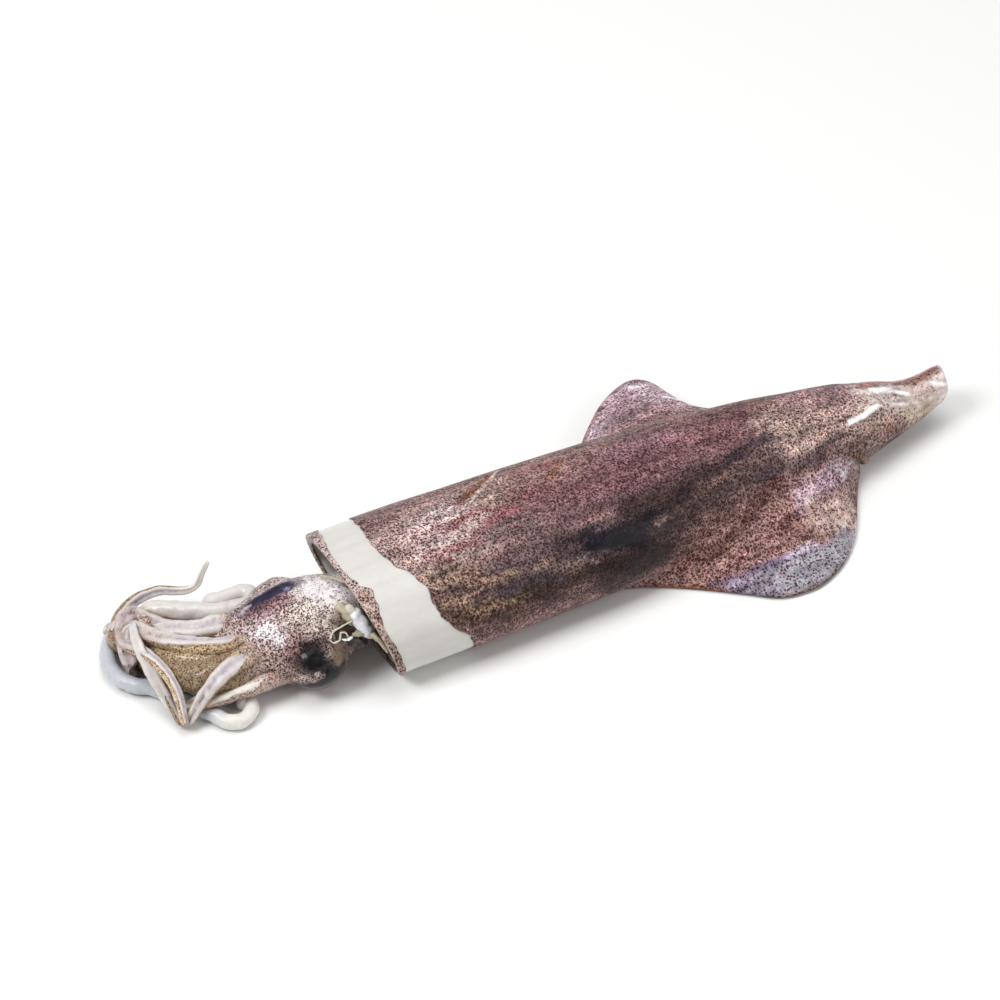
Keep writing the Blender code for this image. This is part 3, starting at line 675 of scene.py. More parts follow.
def buildFlesh():
    first = mantle["sections"][0][0]
    wall, deep, depth = mantle["skinDepth"], mantle["wall"], mantle["mouthDepth"]
    # down the outside to the rim, round it, and back along the inside of the mouth
    profile = [(-10, 2.6), (-17, 1.6), (-22, 0.8), (-28, wall)] + [(x, wall) for x in range(-34, -51, -2)]
    for k in range(7):
        turn = math.pi * k / 6
        middle, radius = (wall + deep) / 2, (deep - wall) / 2
        profile.append((first + 1.3 * (1 - math.sin(turn)), middle - radius * math.cos(turn)))
    profile += [(x, deep + 0.02 * (x - first)) for x in range(-49, int(first + depth), 2)]
    profile += [(first + depth, deep + 1.0), (first + depth + 0.6, deep + 4), (first + depth + 0.8, deep + 10)]
    angles = np.linspace(0, 2 * math.pi, 168, endpoint=False)
    rings = []
    for x, inset in profile:
        size = mantleSize(x)
        out, up, share = ringAt(size, angles, inset)
        slant = float(slantAt(min(x, first + 22)))
        rings.append(np.column_stack([x - slant * share, size[0] + out, np.maximum(up, 0.05 + 0.12 * inset)]))
    return gridPiece(rings)


flesh = finish("bare_flesh", buildFlesh(), wetSkin("Bare flesh", fleshLook))
paint(flesh, ((208, 205, 200), 0.0), [
    # painted shade inside the open mouth, darker the deeper in
    (rimPath(-47, 5.4, 0, 360), 2.6, 0.8, (122, 98, 84), 0.9, 0.3),
    (rimPath(-42, 5.4, 0, 360), 3.0, 0.8, (84, 62, 52), 0.9, 0.2),
    ([(-37, -12, 15), (-37, 20, 15)], 11, 2, (58, 42, 36), 0.9, 0.1),
], ragged=0.3)
print("bare flesh:", len(flesh.data.polygons), "faces")


# collar: the strip of spotted skin left along the rim
collar = {
    # angle round from the back, how far back from the rim it reaches
    "reach": [(-180, 0.8), (-150, 0.8), (-120, 1.2), (-95, 2.0), (-80, 2.6), (-66, 1.9), (-56, 3.0), (-44, 5.2),
              (-34, 5.4), (-25, 3.6), (-16, 1.8), (-5, 1.4), (20, 1.6), (60, 4.0), (100, 3.0), (140, 1.2), (180, 0.8)],
}
collarLook = dict(mantleLook, streaks=0.0, flecks=0.4, fleckScale=350.0, bump=0.35, bumpScale=420.0,
                  spots=[(1050.0, 0.58, (0.16, 0.10, 0.11), 1.3, 0), (1600.0, 0.54, (0.3, 0.2, 0.2), 1.1, 0)])


def buildCollar():
    first = mantle["sections"][0][0]
    angles = np.linspace(0, 2 * math.pi, 240, endpoint=False)
    out, up, share = ringAt(mantleSize(first), angles)
    around = np.degrees(np.arctan2(out, up - 15.2))
    reach = np.array([valueAt(collar["reach"], a)[0] for a in around])
    reach *= 1 + 0.35 * np.array([noise.noise(Vector((a * 0.13, 21, 0))) for a in around])
    rings = []
    # from under the band's edge, over it, to the rim and a little way in
    for along, inset in ((1.0, 0.62), (1.03, 0.42), (1.0, 0.16), (0.9, 0.06), (0.7, 0.05), (0.45, 0.05), (0.2, 0.05),
                         (0.0, 0.12), (-0.25, 0.5), (-0.4, 1.2), (-0.36, 2.2), (-0.2, 3.2), (0.2, 3.75), (0.7, 3.7),
                         (0.5, 2.9)):
        x = first + (reach * along if along > 0 and inset < 1 else along)
        out, up, share = ringAt(mantleSize(first), angles, inset)
        up = np.maximum(up, 0.03 + inset * 0.1)
        rings.append(np.column_stack([x - mantle["mouthSlant"] * share, mantleSize(first)[0] + out, up]))
    rings.append(rings[0])
    bm = gridPiece(rings, capEnds=False)
    bmesh.ops.remove_doubles(bm, verts=bm.verts, dist=0.0005)
    return bm


collarSkin = finish("collar_skin", buildCollar(), wetSkin("Collar skin", collarLook))
paint(collarSkin, ((180, 160, 152), 1.0), [
    ([(-62, -5, 36), (-58, -14, 34)], 4, 3, (204, 188, 182), 0.7, 0.9),
    ([(-58, -26, 24), (-56, -28, 16), (-54, -25, 6)], 3, 2, (160, 138, 126), 0.7, 1.0),
    ([(-63, 10, 36), (-60, 30, 28)], 8, 6, (214, 196, 192), 0.6, 0.7),
    ([(-62.3, -8.7, 33.2), (-60.5, -9.5, 35.2), (-60, -12.5, 34.4)], 1.5, 1.4, (150, 116, 94), 0.7, 1.0),
    ([(-59.5, -17, 32), (-58.5, -20, 30.4)], 1.3, 1.4, (150, 112, 92), 0.6, 1.0),
], ragged=0.8, grain=0.3)
paint(collarSkin, None, [
    # painted shade on the inner wall of the near lip; then a pale line along the lip
    (rimPath(-51.7, 3.4, 150, 235), 1.9, 0.6, (66, 48, 40), 0.95, 0.5),
    (rimPath(-52.2, 1.0, 100, 215), 0.7, 0.4, (216, 194, 172), 0.8, 0.2),
], ragged=0.3)
print("collar skin:", len(collarSkin.data.polygons), "faces")


# head, with the two eye bulges pushed out of it
head = {
    "sections": [
        (-38, 4, 9.5, 9, 25), (-54, 4, 10.5, 6.5, 29), (-62, 3.6, 13, 4, 30.5), (-70, 3, 17.5, 1.6, 31),
        (-79, 3.2, 20, 0.7, 31), (-90, 5.2, 17.5, 0.8, 28), (-98, 7, 14.5, 1.6, 24), (-105, 8.2, 9.5, 4, 19),
    ],
    "eyes": {"near": (-79.0, -12.0, 12.5), "far": (-80.5, 17.0, 16.0)},
    "eyeRadii": (11.0, 8.5, 10.0),
    "stations": 120, "around": 150,
}


def pushedOut(ring, heart):
    # moves points out along the line from the section's heart, to the surface of whichever eye stands proud
    way = ring - heart
    way[:, 0] = 0
    reach = np.linalg.norm(way, axis=1)
    way /= reach[:, None]
    best = reach.copy()
    for eye in head["eyes"].values():
        radii = np.array(head["eyeRadii"])
        start = np.column_stack([ring[:, 0], np.full(len(ring), heart[1]), np.full(len(ring), heart[2])])
        p, d = (start - eye) / radii, way / radii
        a, b, c = (d * d).sum(1), (p * d).sum(1), (p * p).sum(1) - 1
        root = np.sqrt(np.maximum(b * b - a * c, 0))
        hit = np.where(b * b - a * c > 0, (root - b) / a, 0)
        gap = np.clip(0.5 + (hit - best) / 5.0, 0, 1)  # a soft join between skin and eye
        best = best * (1 - gap) + hit * gap + 1.25 * gap * (1 - gap)
    return ring + way * (best - reach)[:, None]


def buildHead():
    first, last = head["sections"][0][0], head["sections"][-1][0]
    angles = np.linspace(0, 2 * math.pi, head["around"], endpoint=False)
    rings = []
    for x in np.linspace(first, last, head["stations"]):
        size = valueAt(head["sections"], x)
        out, up, _ = ringAt(size, angles)
        ring = np.column_stack([np.full(len(angles), x), size[0] + out, up])
        rings.append(pushedOut(ring, np.array((x, size[0], size[2] + 0.45 * (size[3] - size[2])))))
    for share, on in ((0.92, 1.2), (0.75, 2.2), (0.5, 2.8), (0.2, 3.0)):
        ring = rings[head["stations"] - 1].copy()
        heart = ring.mean(axis=0)
        ring = heart + (ring - heart) * share
        ring[:, 0] -= on
        rings.append(ring)
    rings = np.array(rings)
    rings[..., 2] = np.maximum(rings[..., 2], 0.7)
    lumps = np.array([[noise.noise(Vector(p * 0.14)) + 0.4 * noise.noise(Vector(p * 0.4)) for p in ring]
                      for ring in rings])
    heart = rings.mean(axis=1, keepdims=True)
    rings += (heart - rings) * np.clip(lumps + 0.2, 0, 1)[..., None] * 0.045 * blend(rings[..., 2], 1, 5)[..., None]
    return gridPiece(rings)


headLook = {
    "streaks": 0.0, "fleckScale": 260.0, "flecks": 0.3,
    "spots": [(1120.0, 0.60, (0.20, 0.11, 0.14), 1.2, 0), (1800.0, 0.56, (0.14, 0.09, 0.09), 1.1, 0)],
    "bump": 0.5, "bumpScale": 300.0, "roughness": 0.38, "coat": 0.55, "soft": 0.12,
}
headPaint = [
    # white round the neck and the crown
    ([(-60, 4, 30), (-66, 2, 30), (-72, 5, 31)], 10, 3.5, (228, 222, 224), 0.95, 0.3),
    ([(-63, -6, 27), (-68, -7, 27)], 3, 2, (222, 214, 212), 0.85, 0.4),
    ([(-81, -1, 30), (-77, -5, 29), (-74, -10, 26)], 5, 3, (224, 214, 200), 0.85, 0.75),
    # magenta speckle towards the arms
    ([(-93, 8, 27), (-88, 7, 29), (-83, 6, 30)], 4.5, 3, (160, 122, 129), 0.8, 1.0),
    ([(-95, 8.2, 25.4), (-89.3, 7.9, 27.9), (-84, 7.4, 29.4)], 1.7, 1.5, (98, 62, 72), 0.75, 1.0),
    ([(-98, 2, 22), (-93, 0, 25)], 4, 3, (214, 194, 196), 0.85, 1.0),
    # painted highlight: a white glint on the crown
    ([(-93.2, -1, 25.4), (-90, -6.5, 24)], 3.3, 1.8, (242, 238, 241), 0.88, 0.45),
    ([(-84, -9, 25), (-88, -10, 21)], 3, 2.4, (164, 132, 130), 0.7, 1.0),
    ([(-101, -7, 15), (-94, -10, 9)], 6, 4, (200, 178, 158), 0.85, 1.0),
    ([(-90, -11, 19), (-90, -14, 12)], 3, 2.4, (160, 124, 122), 0.7, 1.0),
    # near eye: a black hollow with a brown see-through bulge behind it and a fold below
    ([(-73.5, -17.3, 18), (-72.5, -17, 14), (-74, -18.5, 12)], 4.6, 2.2, (120, 101, 86), 0.95, 0.2),
    ([(-78, -13.5, 23), (-84, -13, 22), (-87, -14.5, 18)], 3.2, 2.8, (70, 50, 48), 0.85, 1.0),
    ([(-87, -13.5, 20), (-86, -15, 17)], 2.4, 2.2, (66, 48, 48), 0.8, 1.0),
    ([(-83, -15, 20.8), (-81.5, -18, 18), (-79.8, -19.9, 15)], 4.2, 2.2, (8, 7, 10), 0.99, 0.9),
    # a dark crescent under the eye's bulge: partly the eye's own dark, partly painted shade where the head curves under
    ([(-80.5, -20.3, 10), (-76, -20, 10), (-71, -17, 9.5)], 2.4, 1.6, (34, 29, 42), 0.93, 0.1),
    ([(-92, -11, 4.4), (-89.7, -13.4, 6.2), (-87.4, -16.2, 8), (-84.4, -18.8, 10), (-80.5, -20.3, 11.8),
      (-76.8, -20.2, 13), (-73.6, -18.9, 14)], 2.5, 0.9, (9, 8, 14), 0.98, 0.1),
    # painted shadow under the head, near the floor
    ([(-87, -17, 9), (-83, -18.6, 7), (-77, -18.6, 6)], 2.6, 1.8, (48, 38, 42), 0.85, 0.3),
    ([(-91, -13, 10.4), (-88.3, -16.3, 12.9), (-86.2, -18, 14.4), (-84, -19, 15.1), (-82, -19.6, 15.4)], 1.1, 0.7,
     (196, 176, 172), 0.9, 0.4),
    # painted highlight on the fold's end
    ([(-83.4, -19.2, 15.9), (-82.4, -19.5, 15.3)], 0.6, 0.5, (232, 224, 230), 0.9, 0.0),
    # painted shade in the gap between the neck and the collar
    ([(-71.6, -9.5, 26.6), (-69.6, -11.5, 23.5), (-66, -12, 20)], 2.8, 2.0, (96, 78, 60), 0.85, 0.4),
    # far eye: navy lens under a purple-grey film
    ([(-95, 12.8, 24.6), (-88, 12.4, 27.2), (-80, 11.7, 29.4), (-76.5, 12, 29.4)], 3.4, 1.5,
     (128, 114, 126), 0.85, 0.5),
    ([(-92, 12.4, 25.8), (-85.5, 11.8, 28.1), (-80.5, 11.5, 29.2)], 2.7, 0.9, (24, 23, 52), 0.97, 0.2),
    # painted highlight on the lens
    ([(-82, 10.4, 29), (-80.8, 10.4, 29.4)], 0.7, 0.7, (176, 172, 214), 0.85, 0.0),
    ([(-95.4, 12.4, 24.4), (-93, 12.2, 25.4)], 1.0, 0.8, (206, 198, 204), 0.8, 0.2),
    ([(-80.5, 25, 16), (-82, 24, 20)], 6, 2.5, (20, 18, 26), 0.95, 0.1),
]
headSkin = finish("head_skin", buildHead(), wetSkin("Head skin", headLook))
paint(headSkin, ((200, 180, 172), 1.0), headPaint, ragged=1.3, grain=0.2)
print("head skin:", len(headSkin.data.polygons), "faces")


# arms and tentacles
armLook = {
    "streaks": 0.0, "fleckScale": 420.0, "flecks": 0.2,
    "spots": [(1150.0, 0.54, (0.34, 0.25, 0.22), 1.2, 0), (1700.0, 0.50, (0.44, 0.34, 0.3), 1.1, 0)],
    "bump": 0.30, "bumpScale": 330.0, "roughness": 0.32, "coat": 0.8, "soft": 0.3,
}
armSkin = wetSkin("Arm skin", armLook)
palette = {
    "brown": (156, 138, 113), "tan": (190, 170, 138), "straw": (220, 198, 163), "speckled": (206, 182, 174),
    "lilac": (203, 197, 196), "white": (226, 223, 216), "chalk": (206, 201, 198), "grey": (176, 168, 176),
    "clear": (187, 191, 197), "hub": (202, 192, 195), "veil": (178, 168, 146), "film": (206, 194, 176),
    "cream": (208, 200, 184), "pearl": (234, 234, 239), "dark": (50, 36, 28),
    # beside the sucker side, its seam and the seam near the tip, painted shade between limbs, and next to the head
    "rim": (156, 126, 88), "seam": (160, 140, 156), "seamEnd": (92, 68, 52), "paintedGapShade": (140, 112, 70),
    "root": (194, 172, 164),
}
# spacing of rings in mm, points in a ring, and the section's sizes as shares of the radius
limbForm = {"spacing": 0.8, "around": 28, "breadth": 1.06, "flat": 0.78, "groove": 0.26, "keel": 1.08}


def tone(name):
    return np.array(linear(palette[name]))


def bend(centre, radius, start, end, zStart, zEnd):
    # points along a round bend
    turns = np.linspace(0, 1, max(3, math.ceil(abs(end - start) / 40) + 1))
    angle = np.radians(start + (end - start) * turns)
    return [(centre[0] + radius * math.cos(a), centre[1] + radius * math.sin(a), zStart + (zEnd - zStart) * t)
            for a, t in zip(angle, turns)]


# each limb: its line, root and tip radius, the way its sucker side faces at root and tip, and its colours
limbs = {
    "arm_front": {
        "line": [(-92, 1, 16), (-101.6, -3.2, 19.2), (-112.8, -5.8, 17.3), (-120, -6.9, 11.6), (-126.5, -8.5, 4.5)],
        "radii": (3.9, 1.8), "faces": [(0.2, -0.5, 0.9), (0, -0.3, 1)], "outer": "tan", "inner": "lilac", "seam": True,
        "start": (6, 26)},
    "arm_low": {
        "line": [(-90, -6, 9), (-99.4, -8, 10.6), (-109.6, -7.6, 9.8), (-118.8, -5.2, 6.6), (-126, -1, 3.4)],
        "radii": (4.9, 2.0), "faces": [(0, -0.15, 1), (0, -0.1, 1)], "outer": "speckled", "inner": "white"},
    "arm_broad": {
        "line": [(-94, 2, 12), (-105, -1.5, 12.5), (-114, -0.5, 12), (-122, 6.5, 10.5), (-129, 20, 8.5)],
        "radii": (8.0, 3.2), "faces": [(0, 0, -1), (0, 0, -1)], "outer": "brown", "inner": "lilac"},
    "arm_hairpin": {
        "line": [(-92, 8, 18), (-104.3, 4.4, 19.4), (-115.5, 10.1, 19), (-124.4, 18.8, 18.2)]
        + bend((-131.3, 24.8), 3.3, 50, 210, 17.5, 16)
        + [(-131.5, 17.5, 16.5), (-128.5, 8, 15.5), (-127.5, -1, 12), (-129, -9.5, 6)],
        "radii": (3.6, 1.5), "faces": [(0, 0.6, 0.8), (0, 0.5, 0.8), (-0.6, 0.2, 0.8), (0.5, -0.1, 0.8), (0.6, 0, 0.8)],
        "outer": "straw", "inner": "lilac"},
    "arm_pale": {
        "line": [(-90, 13, 15), (-101, 16, 16.5), (-110, 17.5, 17), (-118, 23, 15.5), (-125, 29, 12)]
        + bend((-126, 41), 7.2, 220, 130, 7, 2.4),
        "radii": (4.2, 1.5), "faces": [(0, -0.3, 1), (0, 0, 1)], "outer": "tan", "inner": "chalk"},
    "arm_outer": {
        "line": [(-90, 12, 7), (-106, 20, 5), (-120, 26, 5)] + bend((-116.8, 30), 17.0, 175, 42, 8, 12)
        + [(-100, 40, 14), (-98, 39.5, 19), (-95.8, 39.5, 23.5)],
        "radii": (3.8, 0.9), "faces": [(0, 0, 1), (0.9, 0, 0.3), (0.5, -0.8, 0.2), (0, -0.9, 0.4), (-0.4, -0.8, 0.3)],
        "outer": "brown", "inner": "lilac", "tip": "white"},
    "arm_cluster": {
        "line": [(-92, 10, 10), (-108, 20, 9), (-119, 31, 10.5), (-126, 36.5, 14), (-131, 33, 16),
                 (-133.5, 26.5, 14.5), (-135, 21, 11)],
        "radii": (3.9, 3.0), "faces": [(0, 0, 1), (-0.5, -0.5, 1)], "outer": "brown", "inner": "hub"},
    "arm_left": {
        "line": [(-92, 4, 6), (-108, 9, 5), (-120, 20, 6), (-127, 26, 9), (-129, 18.5, 10.5), (-128.6, 11, 8.5),
                 (-128.8, 1.7, 6), (-128.8, -7, 3.4)],
        "radii": (3.6, 1.8), "faces": [(0, 0, 1), (0.6, 0, 1)], "outer": "brown", "inner": "grey"},
    "tentacle_loop": {
        "line": [(-90, 10, 8), (-105, 17, 7), (-117, 27, 6.5), (-125, 35, 8), (-119, 38, 12), (-109, 30.5, 14),
                 (-100, 24.5, 14.5)]
        + bend((-88.6, 26.9), 3.9, -105, 85, 14, 12.6) + [(-94, 31.5, 12), (-98, 33, 11)],
        "radii": (3.6, 2.9), "faces": [(0, 0, 1), (0, 0, 1)], "outer": "chalk", "inner": "chalk", "round": True},
    "tentacle_curl": {
        "line": [(-92, 2, 5), (-110, 13, 4), (-122, 28, 4)] + bend((-124.5, 25.4), 15.2, 118, 247, 4.5, 3.4)
        + [(-126, 5, 3.3), (-122, -1.5, 3.2)] + bend((-110.6, -9.4), 6.4, 195, 372, 3.1, 3) + [(-106.5, -8.6, 3)],
        "radii": (3.2, 2.7), "faces": [(0, 0, 1), (0, 0, 1)], "outer": "clear", "inner": "clear", "round": True,
        "tip": "white"},
    # not an arm: a dark body laid in the gap under the knot, painted shade where the floor would show
    "shade_under_knot": {
        "line": [(-121, 22, 3.2), (-127, 24, 3.2), (-132.5, 21.5, 3)],
        "radii": (3.0, 2.6), "faces": [(0, 0, 1), (0, 0, 1)], "outer": "dark", "inner": "dark", "round": True},
}


# thin ends that lie loose over the others
looseEnds = {
    "end_long": {
        "line": [(-126.5, 31, 15.5), (-129, 29.5, 18.2), (-131.5, 23.1, 19.3), (-132.3, 17.8, 18), (-131.8, 12.9, 14.8),
                 (-131, 8.2, 10.8), (-130.2, 3.2, 6.8), (-129.3, -1, 4.6), (-127.5, -3.2, 2.6)],
        "radii": (1.2, 2.5, 1.5), "faces": [(-0.6, -0.2, 1), (-0.5, -0.4, 1)], "outer": "grey", "inner": "chalk",
        "seamShare": 0.2},
    "web": {
        "line": [(-106, 1, 14), (-112, 3, 14.6), (-116.6, 6.6, 14.4), (-121.6, 12, 13.4), (-124.8, 16.8, 12.4),
                 (-127, 20, 11.5)],
        "radii": (3.2, 3.4, 2.6), "faces": [(0, 0, -1)] * 2, "outer": "tan", "inner": "tan"},
    "end_side": {
        "line": [(-124, 28, 16.5), (-130.5, 28.5, 18), (-134.2, 26.5, 17), (-136.6, 24, 14), (-137, 21, 10.5)],
        "radii": (1.5, 0.9), "faces": [(0, 0, 1), (-0.8, 0, 0.6)], "outer": "tan", "inner": "hub"},
    "end_back": {
        "line": [(-123, 33, 14), (-129, 36, 13.5), (-133.5, 37.5, 11), (-135.5, 34.5, 8)],
        "radii": (1.8, 1.0), "faces": [(0, 0, 1), (-0.8, 0, 0.6)], "outer": "speckled", "inner": "lilac"},
}
# colour over the knot of arms: greyer, with painted tan shade in its hollows
knotPaint = [
    ([(-135, 24, 15), (-131, 31, 15)], 6, 5, (168, 150, 150), 0.5, 0.3),
    ([(-127.5, 22, 18), (-124, 17, 18)], 2.6, 2.4, (176, 150, 112), 0.5, 0.6),
    ([(-128, 37, 15), (-133, 34, 14), (-135, 29, 13)], 2.6, 2.4, (150, 122, 106), 0.7, 0.9),
]


def sweep(name, limb, material=armSkin, others=()):
    # a tapering limb with a flat sucker side and a keel behind it; its colour goes with the side
    line = smoothLine(limb["line"], 24)
    length = np.linalg.norm(np.diff(line, axis=0), axis=1).sum()
    line = smoothLine(limb["line"], max(24, int(length / limbForm["spacing"])))
    count = len(line)
    run = np.gradient(line, axis=0)
    run /= np.linalg.norm(run, axis=1)[:, None]
    share = np.linspace(0, 1, count)
    radius = np.interp(share ** 1.3, np.linspace(0, 1, len(limb["radii"])), limb["radii"])
    at = np.linspace(0, 1, len(limb["faces"]))
    face = np.column_stack([np.interp(share, at, way) for way in zip(*limb["faces"])])
    face = face - run * (face * run).sum(1)[:, None]
    face /= np.linalg.norm(face, axis=1)[:, None]
    side = np.cross(run, face)
    turns = np.linspace(0, 2 * math.pi, limbForm["around"], endpoint=False)
    c, s = np.cos(turns), np.sin(turns)
    if limb.get("round"):
        across, deep = c, s
    else:
        across = np.sign(c) * np.abs(c) ** 0.85 * limbForm["breadth"]
        groove = limbForm["groove"] * np.exp(-(c / 0.3) ** 2)  # down the middle of the sucker side
        deep = np.where(s >= 0, limbForm["flat"] * np.abs(s) ** 0.75 - groove, -limbForm["keel"] * np.abs(s) ** 1.15)
    rings = []
    for k in range(count):
        rings.append(line[k] + radius[k] * (across[:, None] * side[k] + deep[:, None] * face[k]))
    for reach, width in ((0.45, 0.88), (0.75, 0.62), (0.93, 0.3), (0.98, 0.1)):
        for k, way in ((-1, 1), (0, -1)):
            ring = line[k] + way * run[k] * radius[k] * reach
            ring = ring + radius[k] * width * (across[:, None] * side[k] + deep[:, None] * face[k])
            rings = rings + [ring] if way == 1 else [ring] + rings
    rings = np.array(rings)
    grain, crumple = limb.get("crumple", (0.3, 0.14))
    lumps = np.array([[noise.noise(Vector(p * grain)) for p in ring] for ring in rings])
    heart = rings.mean(axis=1, keepdims=True)
    rings += (heart - rings) * np.clip(lumps + 0.1, -0.3, 1)[..., None] * crumple
    rings[..., 2] = np.maximum(rings[..., 2], 0.05)
    piece = finish(name, gridPiece(rings), material)

    # colours: the sucker side, the keel side and a tan line between them
    mesh = piece.data
    co = coordinates(mesh) / mm + shift
    nearest = np.array([np.argmin(((line - p) ** 2).sum(1)) for p in co])
    height = ((co - line[nearest]) * face[nearest]).sum(1) / radius[nearest]
    aside = ((co - line[nearest]) * side[nearest]).sum(1) / radius[nearest]
    patches = np.array([noise.noise(Vector(p * 0.7)) for p in co])
    # the pale side narrows to a point where the limb leaves the head
    along = share[nearest] * length
    narrow = 1.7 * blend(along, *limb.get("start", (3, 19) if len(others) else (0, 5))) - 0.3
    turn = (blend(height, 0.12, 0.48) * (1 - blend(np.abs(aside), narrow, narrow + 0.45)))[:, None]
    colour = toward(tone(limb["outer"]), tone(limb["inner"]), turn)
    spotShare = 0.95 * (1 - turn[:, 0]) + 0.05
    if limb.get("round"):
        spotShare *= 0
    else:
        rim = 3.4 * turn * (1 - turn)
        colour = toward(colour, tone("rim"), rim)
        spotShare += 0.45 * rim[:, 0]
        # a mottled mauve seam down the middle, brown where the arm ends
        seam = (turn[:, 0] * np.exp(-(aside / 0.34) ** 2) * np.clip(0.55 + 1.4 * patches, 0.1, 1))[:, None]
        seam *= limb.get("seamShare", 0.8)
        late = blend(share[nearest], 0.6, 0.85)[:, None] if limb.get("seam") else 0
        colour = toward(colour, toward(tone("seam"), tone("seamEnd"), late), seam)
        spotShare += 0.35 * seam[:, 0]
    if limb.get("tip"):
        pale = blend(share[nearest], 0.8, 0.9)[:, None]
        colour = toward(colour, tone(limb["tip"]), pale)
        spotShare *= 1 - pale[:, 0]
    if len(others):
        # painted shade: yellow-brown where limbs lie close to each other
        gap = (np.linalg.norm(co[:, None] - others[None, :, :3], axis=2) - others[:, 3]).min(axis=1)
        paintedGapShade = 0.8 * (1 - blend(gap, -0.2, 1.7))[:, None]
        colour = toward(colour, tone("paintedGapShade"), paintedGapShade)
        root = (1 - blend(along + 4 * patches, 5, 16))[:, None]
        colour = toward(colour, tone("root"), root)
        spotShare = toward(spotShare, 1, root[:, 0])
    layer = mesh.color_attributes.new("paint", "FLOAT_COLOR", "POINT")
    layer.data.foreach_set("color", np.column_stack([colour, spotShare]).ravel())
    return piece


coarse = {}
for name, limb in limbs.items():
    line = smoothLine(limb["line"], 40)
    first, last = limb["radii"]
    coarse[name] = np.column_stack([line, first + (last - first) * np.linspace(0, 1, 40) ** 1.3])
for name, limb in limbs.items():
    arm = sweep(name, limb, others=np.vstack([rows for key, rows in coarse.items() if key != name]))
    paint(arm, None, knotPaint)
for name, limb in looseEnds.items():
    sweep(name, limb)
print("limbs:", len(limbs), "and loose ends:", len(looseEnds))


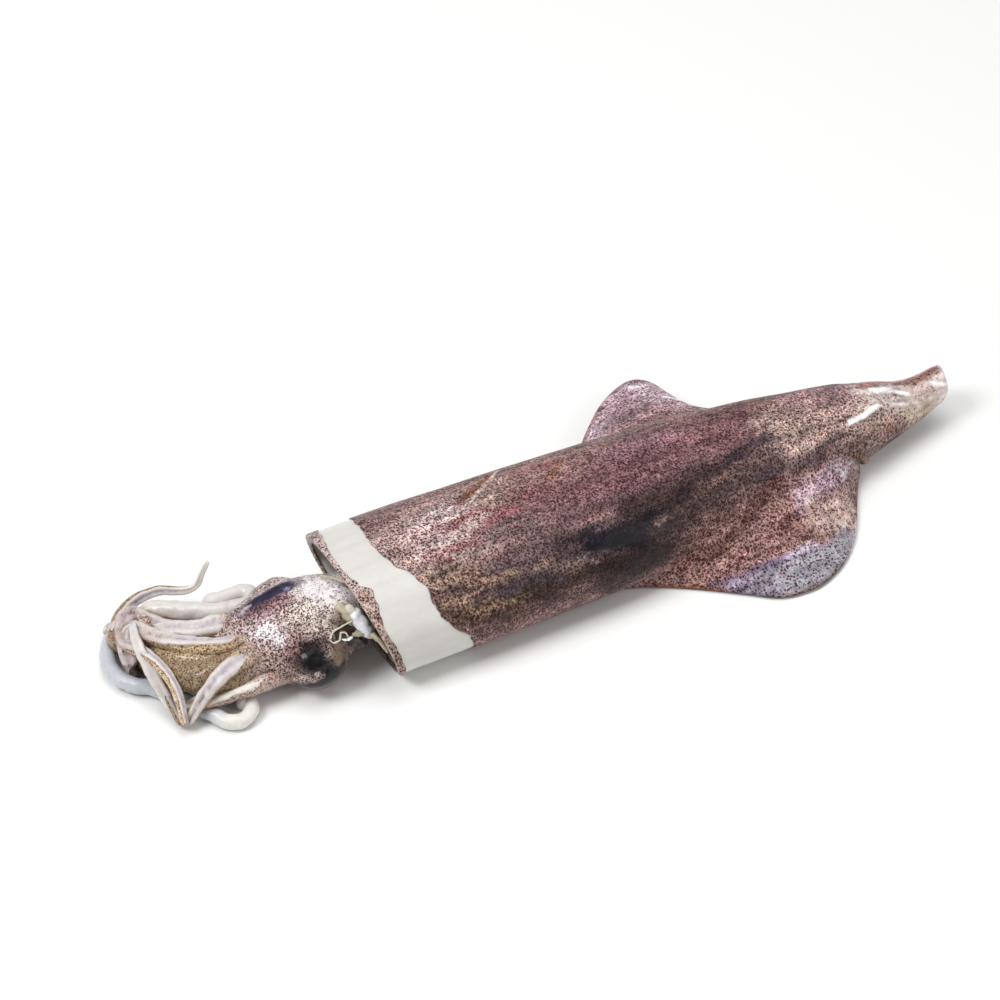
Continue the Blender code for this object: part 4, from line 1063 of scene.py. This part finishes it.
# what hangs in the mouth beside the neck: wet folds, crumpled threads, a thin strand to the rim, and a dark lump that
# is painted shade behind them
filmLook = dict(armLook, flecks=0.35, fleckScale=500.0, roughness=0.18, coat=1.0, soft=0.3, spots=[])
filmSkin = wetSkin("Mouth film", filmLook)
mouthBits = {
    "mouth_lump": {"line": [(-63.6, -9.9, 26.8), (-62.3, -12.3, 23.6), (-60.8, -14, 20.2)], "radii": (2.6, 2.3),
                   "outer": "pearl", "crumple": (0.45, 0.35)},
    "mouth_lobe": {"line": [(-65, -8.2, 28.6), (-63.6, -10.6, 26)], "radii": (1.9, 1.7), "outer": "cream",
                   "crumple": (0.5, 0.35)},
    "mouth_veil": {"line": [(-67.5, -6.2, 28.6), (-66.4, -8.6, 27.2), (-65.2, -10.6, 24.4)], "radii": (2.0, 1.6),
                   "outer": "veil", "crumple": (0.5, 0.5)},
    # a dark lump deep in the mouth: painted shade, not tissue
    "mouth_dark": {"line": [(-71, -11, 22.6), (-67.2, -11.8, 21), (-63.6, -12.2, 16.8)], "radii": (3.2, 3.4),
                   "outer": "dark", "crumple": (0.5, 0.4)},
    "mouth_thread": {"line": [(-75.4, -13.8, 24.2), (-73.6, -12.6, 25.6), (-70.8, -12.2, 26), (-65.6, -11.6, 26.2)],
                     "radii": (0.38, 0.24), "outer": "film", "crumple": (0.9, 0.7)},
    "mouth_hook": {"line": [(-75.6, -14, 23.8), (-74.6, -15, 22.8), (-72.4, -15, 23.2), (-71.6, -14, 24.8)],
                   "radii": (0.26, 0.4), "outer": "film", "crumple": (0.9, 0.7)},
    "mouth_glint": {"line": [(-71.4, -15.4, 23.4), (-69.8, -15.8, 22.6), (-68.0, -15.4, 22.4)],
                    "radii": (0.35, 0.55), "outer": "pearl", "crumple": (0.9, 0.6)},
    "mouth_arc": {"line": [(-71.4, -13.8, 25.2), (-69.8, -14.2, 24.8), (-69.2, -14.8, 23.4)],
                  "radii": (0.35, 0.3), "outer": "film"},
    "mouth_ridge": {"line": [(-68.5, -13, 21.6), (-65.4, -13.5, 21.6), (-62.4, -14.2, 20.8), (-60.2, -16.4, 20.6),
                             (-58.9, -19.3, 19.8), (-57.4, -21.6, 16.4)], "radii": (1.5, 0.7), "outer": "veil",
                    "crumple": (0.5, 0.5)},
    "mouth_strand": {"line": [(-67.3, 8.4, 31.2), (-65, 3.8, 33), (-63, -1.1, 34.6)], "radii": (0.45, 0.5),
                     "outer": "veil"},
}
for name, bit in mouthBits.items():
    sweep(name, dict(bit, faces=[(0, -0.5, 1)] * 2, inner=bit["outer"], round=True), filmSkin)
# the little fold of skin where the near fin ends
finNub = sweep("fin_nub", {"line": [(142, -12.9, 14.4), (145, -12.9, 11.6), (147.6, -11.6, 8.4), (148, -10, 6.4)],
                           "radii": (1.3, 1.5), "faces": [(0, -1, 0.5)] * 2, "outer": "brown", "inner": "brown"},
               mantleSkin.data.materials[0])
paint(finNub, None, [([(141, -13, 15), (147, -12, 8)], 9, 1, (128, 106, 84), 0.9, 0.7)])
print("mouth bits:", len(mouthBits))


# floor and light
studio = {"floor": (0.86, 0.86, 0.85, 1), "world": (1.0, 1.0, 1.0, 1), "worldStrength": 0.36}
bpy.ops.mesh.primitive_plane_add(size=6)
floor = bpy.context.object
floor.name = "floor"
floorPaint = bpy.data.materials.new("Pale floor")
floorPaint.use_nodes = True
floorPaint.node_tree.nodes["Principled BSDF"].inputs["Base Color"].default_value = studio["floor"]
floorPaint.node_tree.nodes["Principled BSDF"].inputs["Roughness"].default_value = 0.6
floor.data.materials.append(floorPaint)

world = bpy.data.worlds.new("World")
bpy.context.scene.world = world
world.use_nodes = True
world.node_tree.nodes["Background"].inputs[0].default_value = studio["world"]
world.node_tree.nodes["Background"].inputs[1].default_value = studio["worldStrength"]


def softbox(name, place, size, power, aim=(0, 0, 0)):
    lamp = bpy.data.lights.new(name, "AREA")
    lamp.shape = "RECTANGLE"
    lamp.size, lamp.size_y = size
    lamp.energy = power
    held = bpy.data.objects.new(name, lamp)
    held.location = place
    held.rotation_euler = (Vector(aim) - Vector(place)).to_track_quat("-Z", "Y").to_euler()
    bpy.context.scene.collection.objects.link(held)


softbox("Key", (-0.95, 0.05, 1.15), (0.55, 0.55), 12)
softbox("Top", (0.1, 0.3, 1.9), (1.4, 1.4), 18)
softbox("Fill", (0.9, -1.3, 1.2), (0.9, 0.9), 7)
print("studio set")
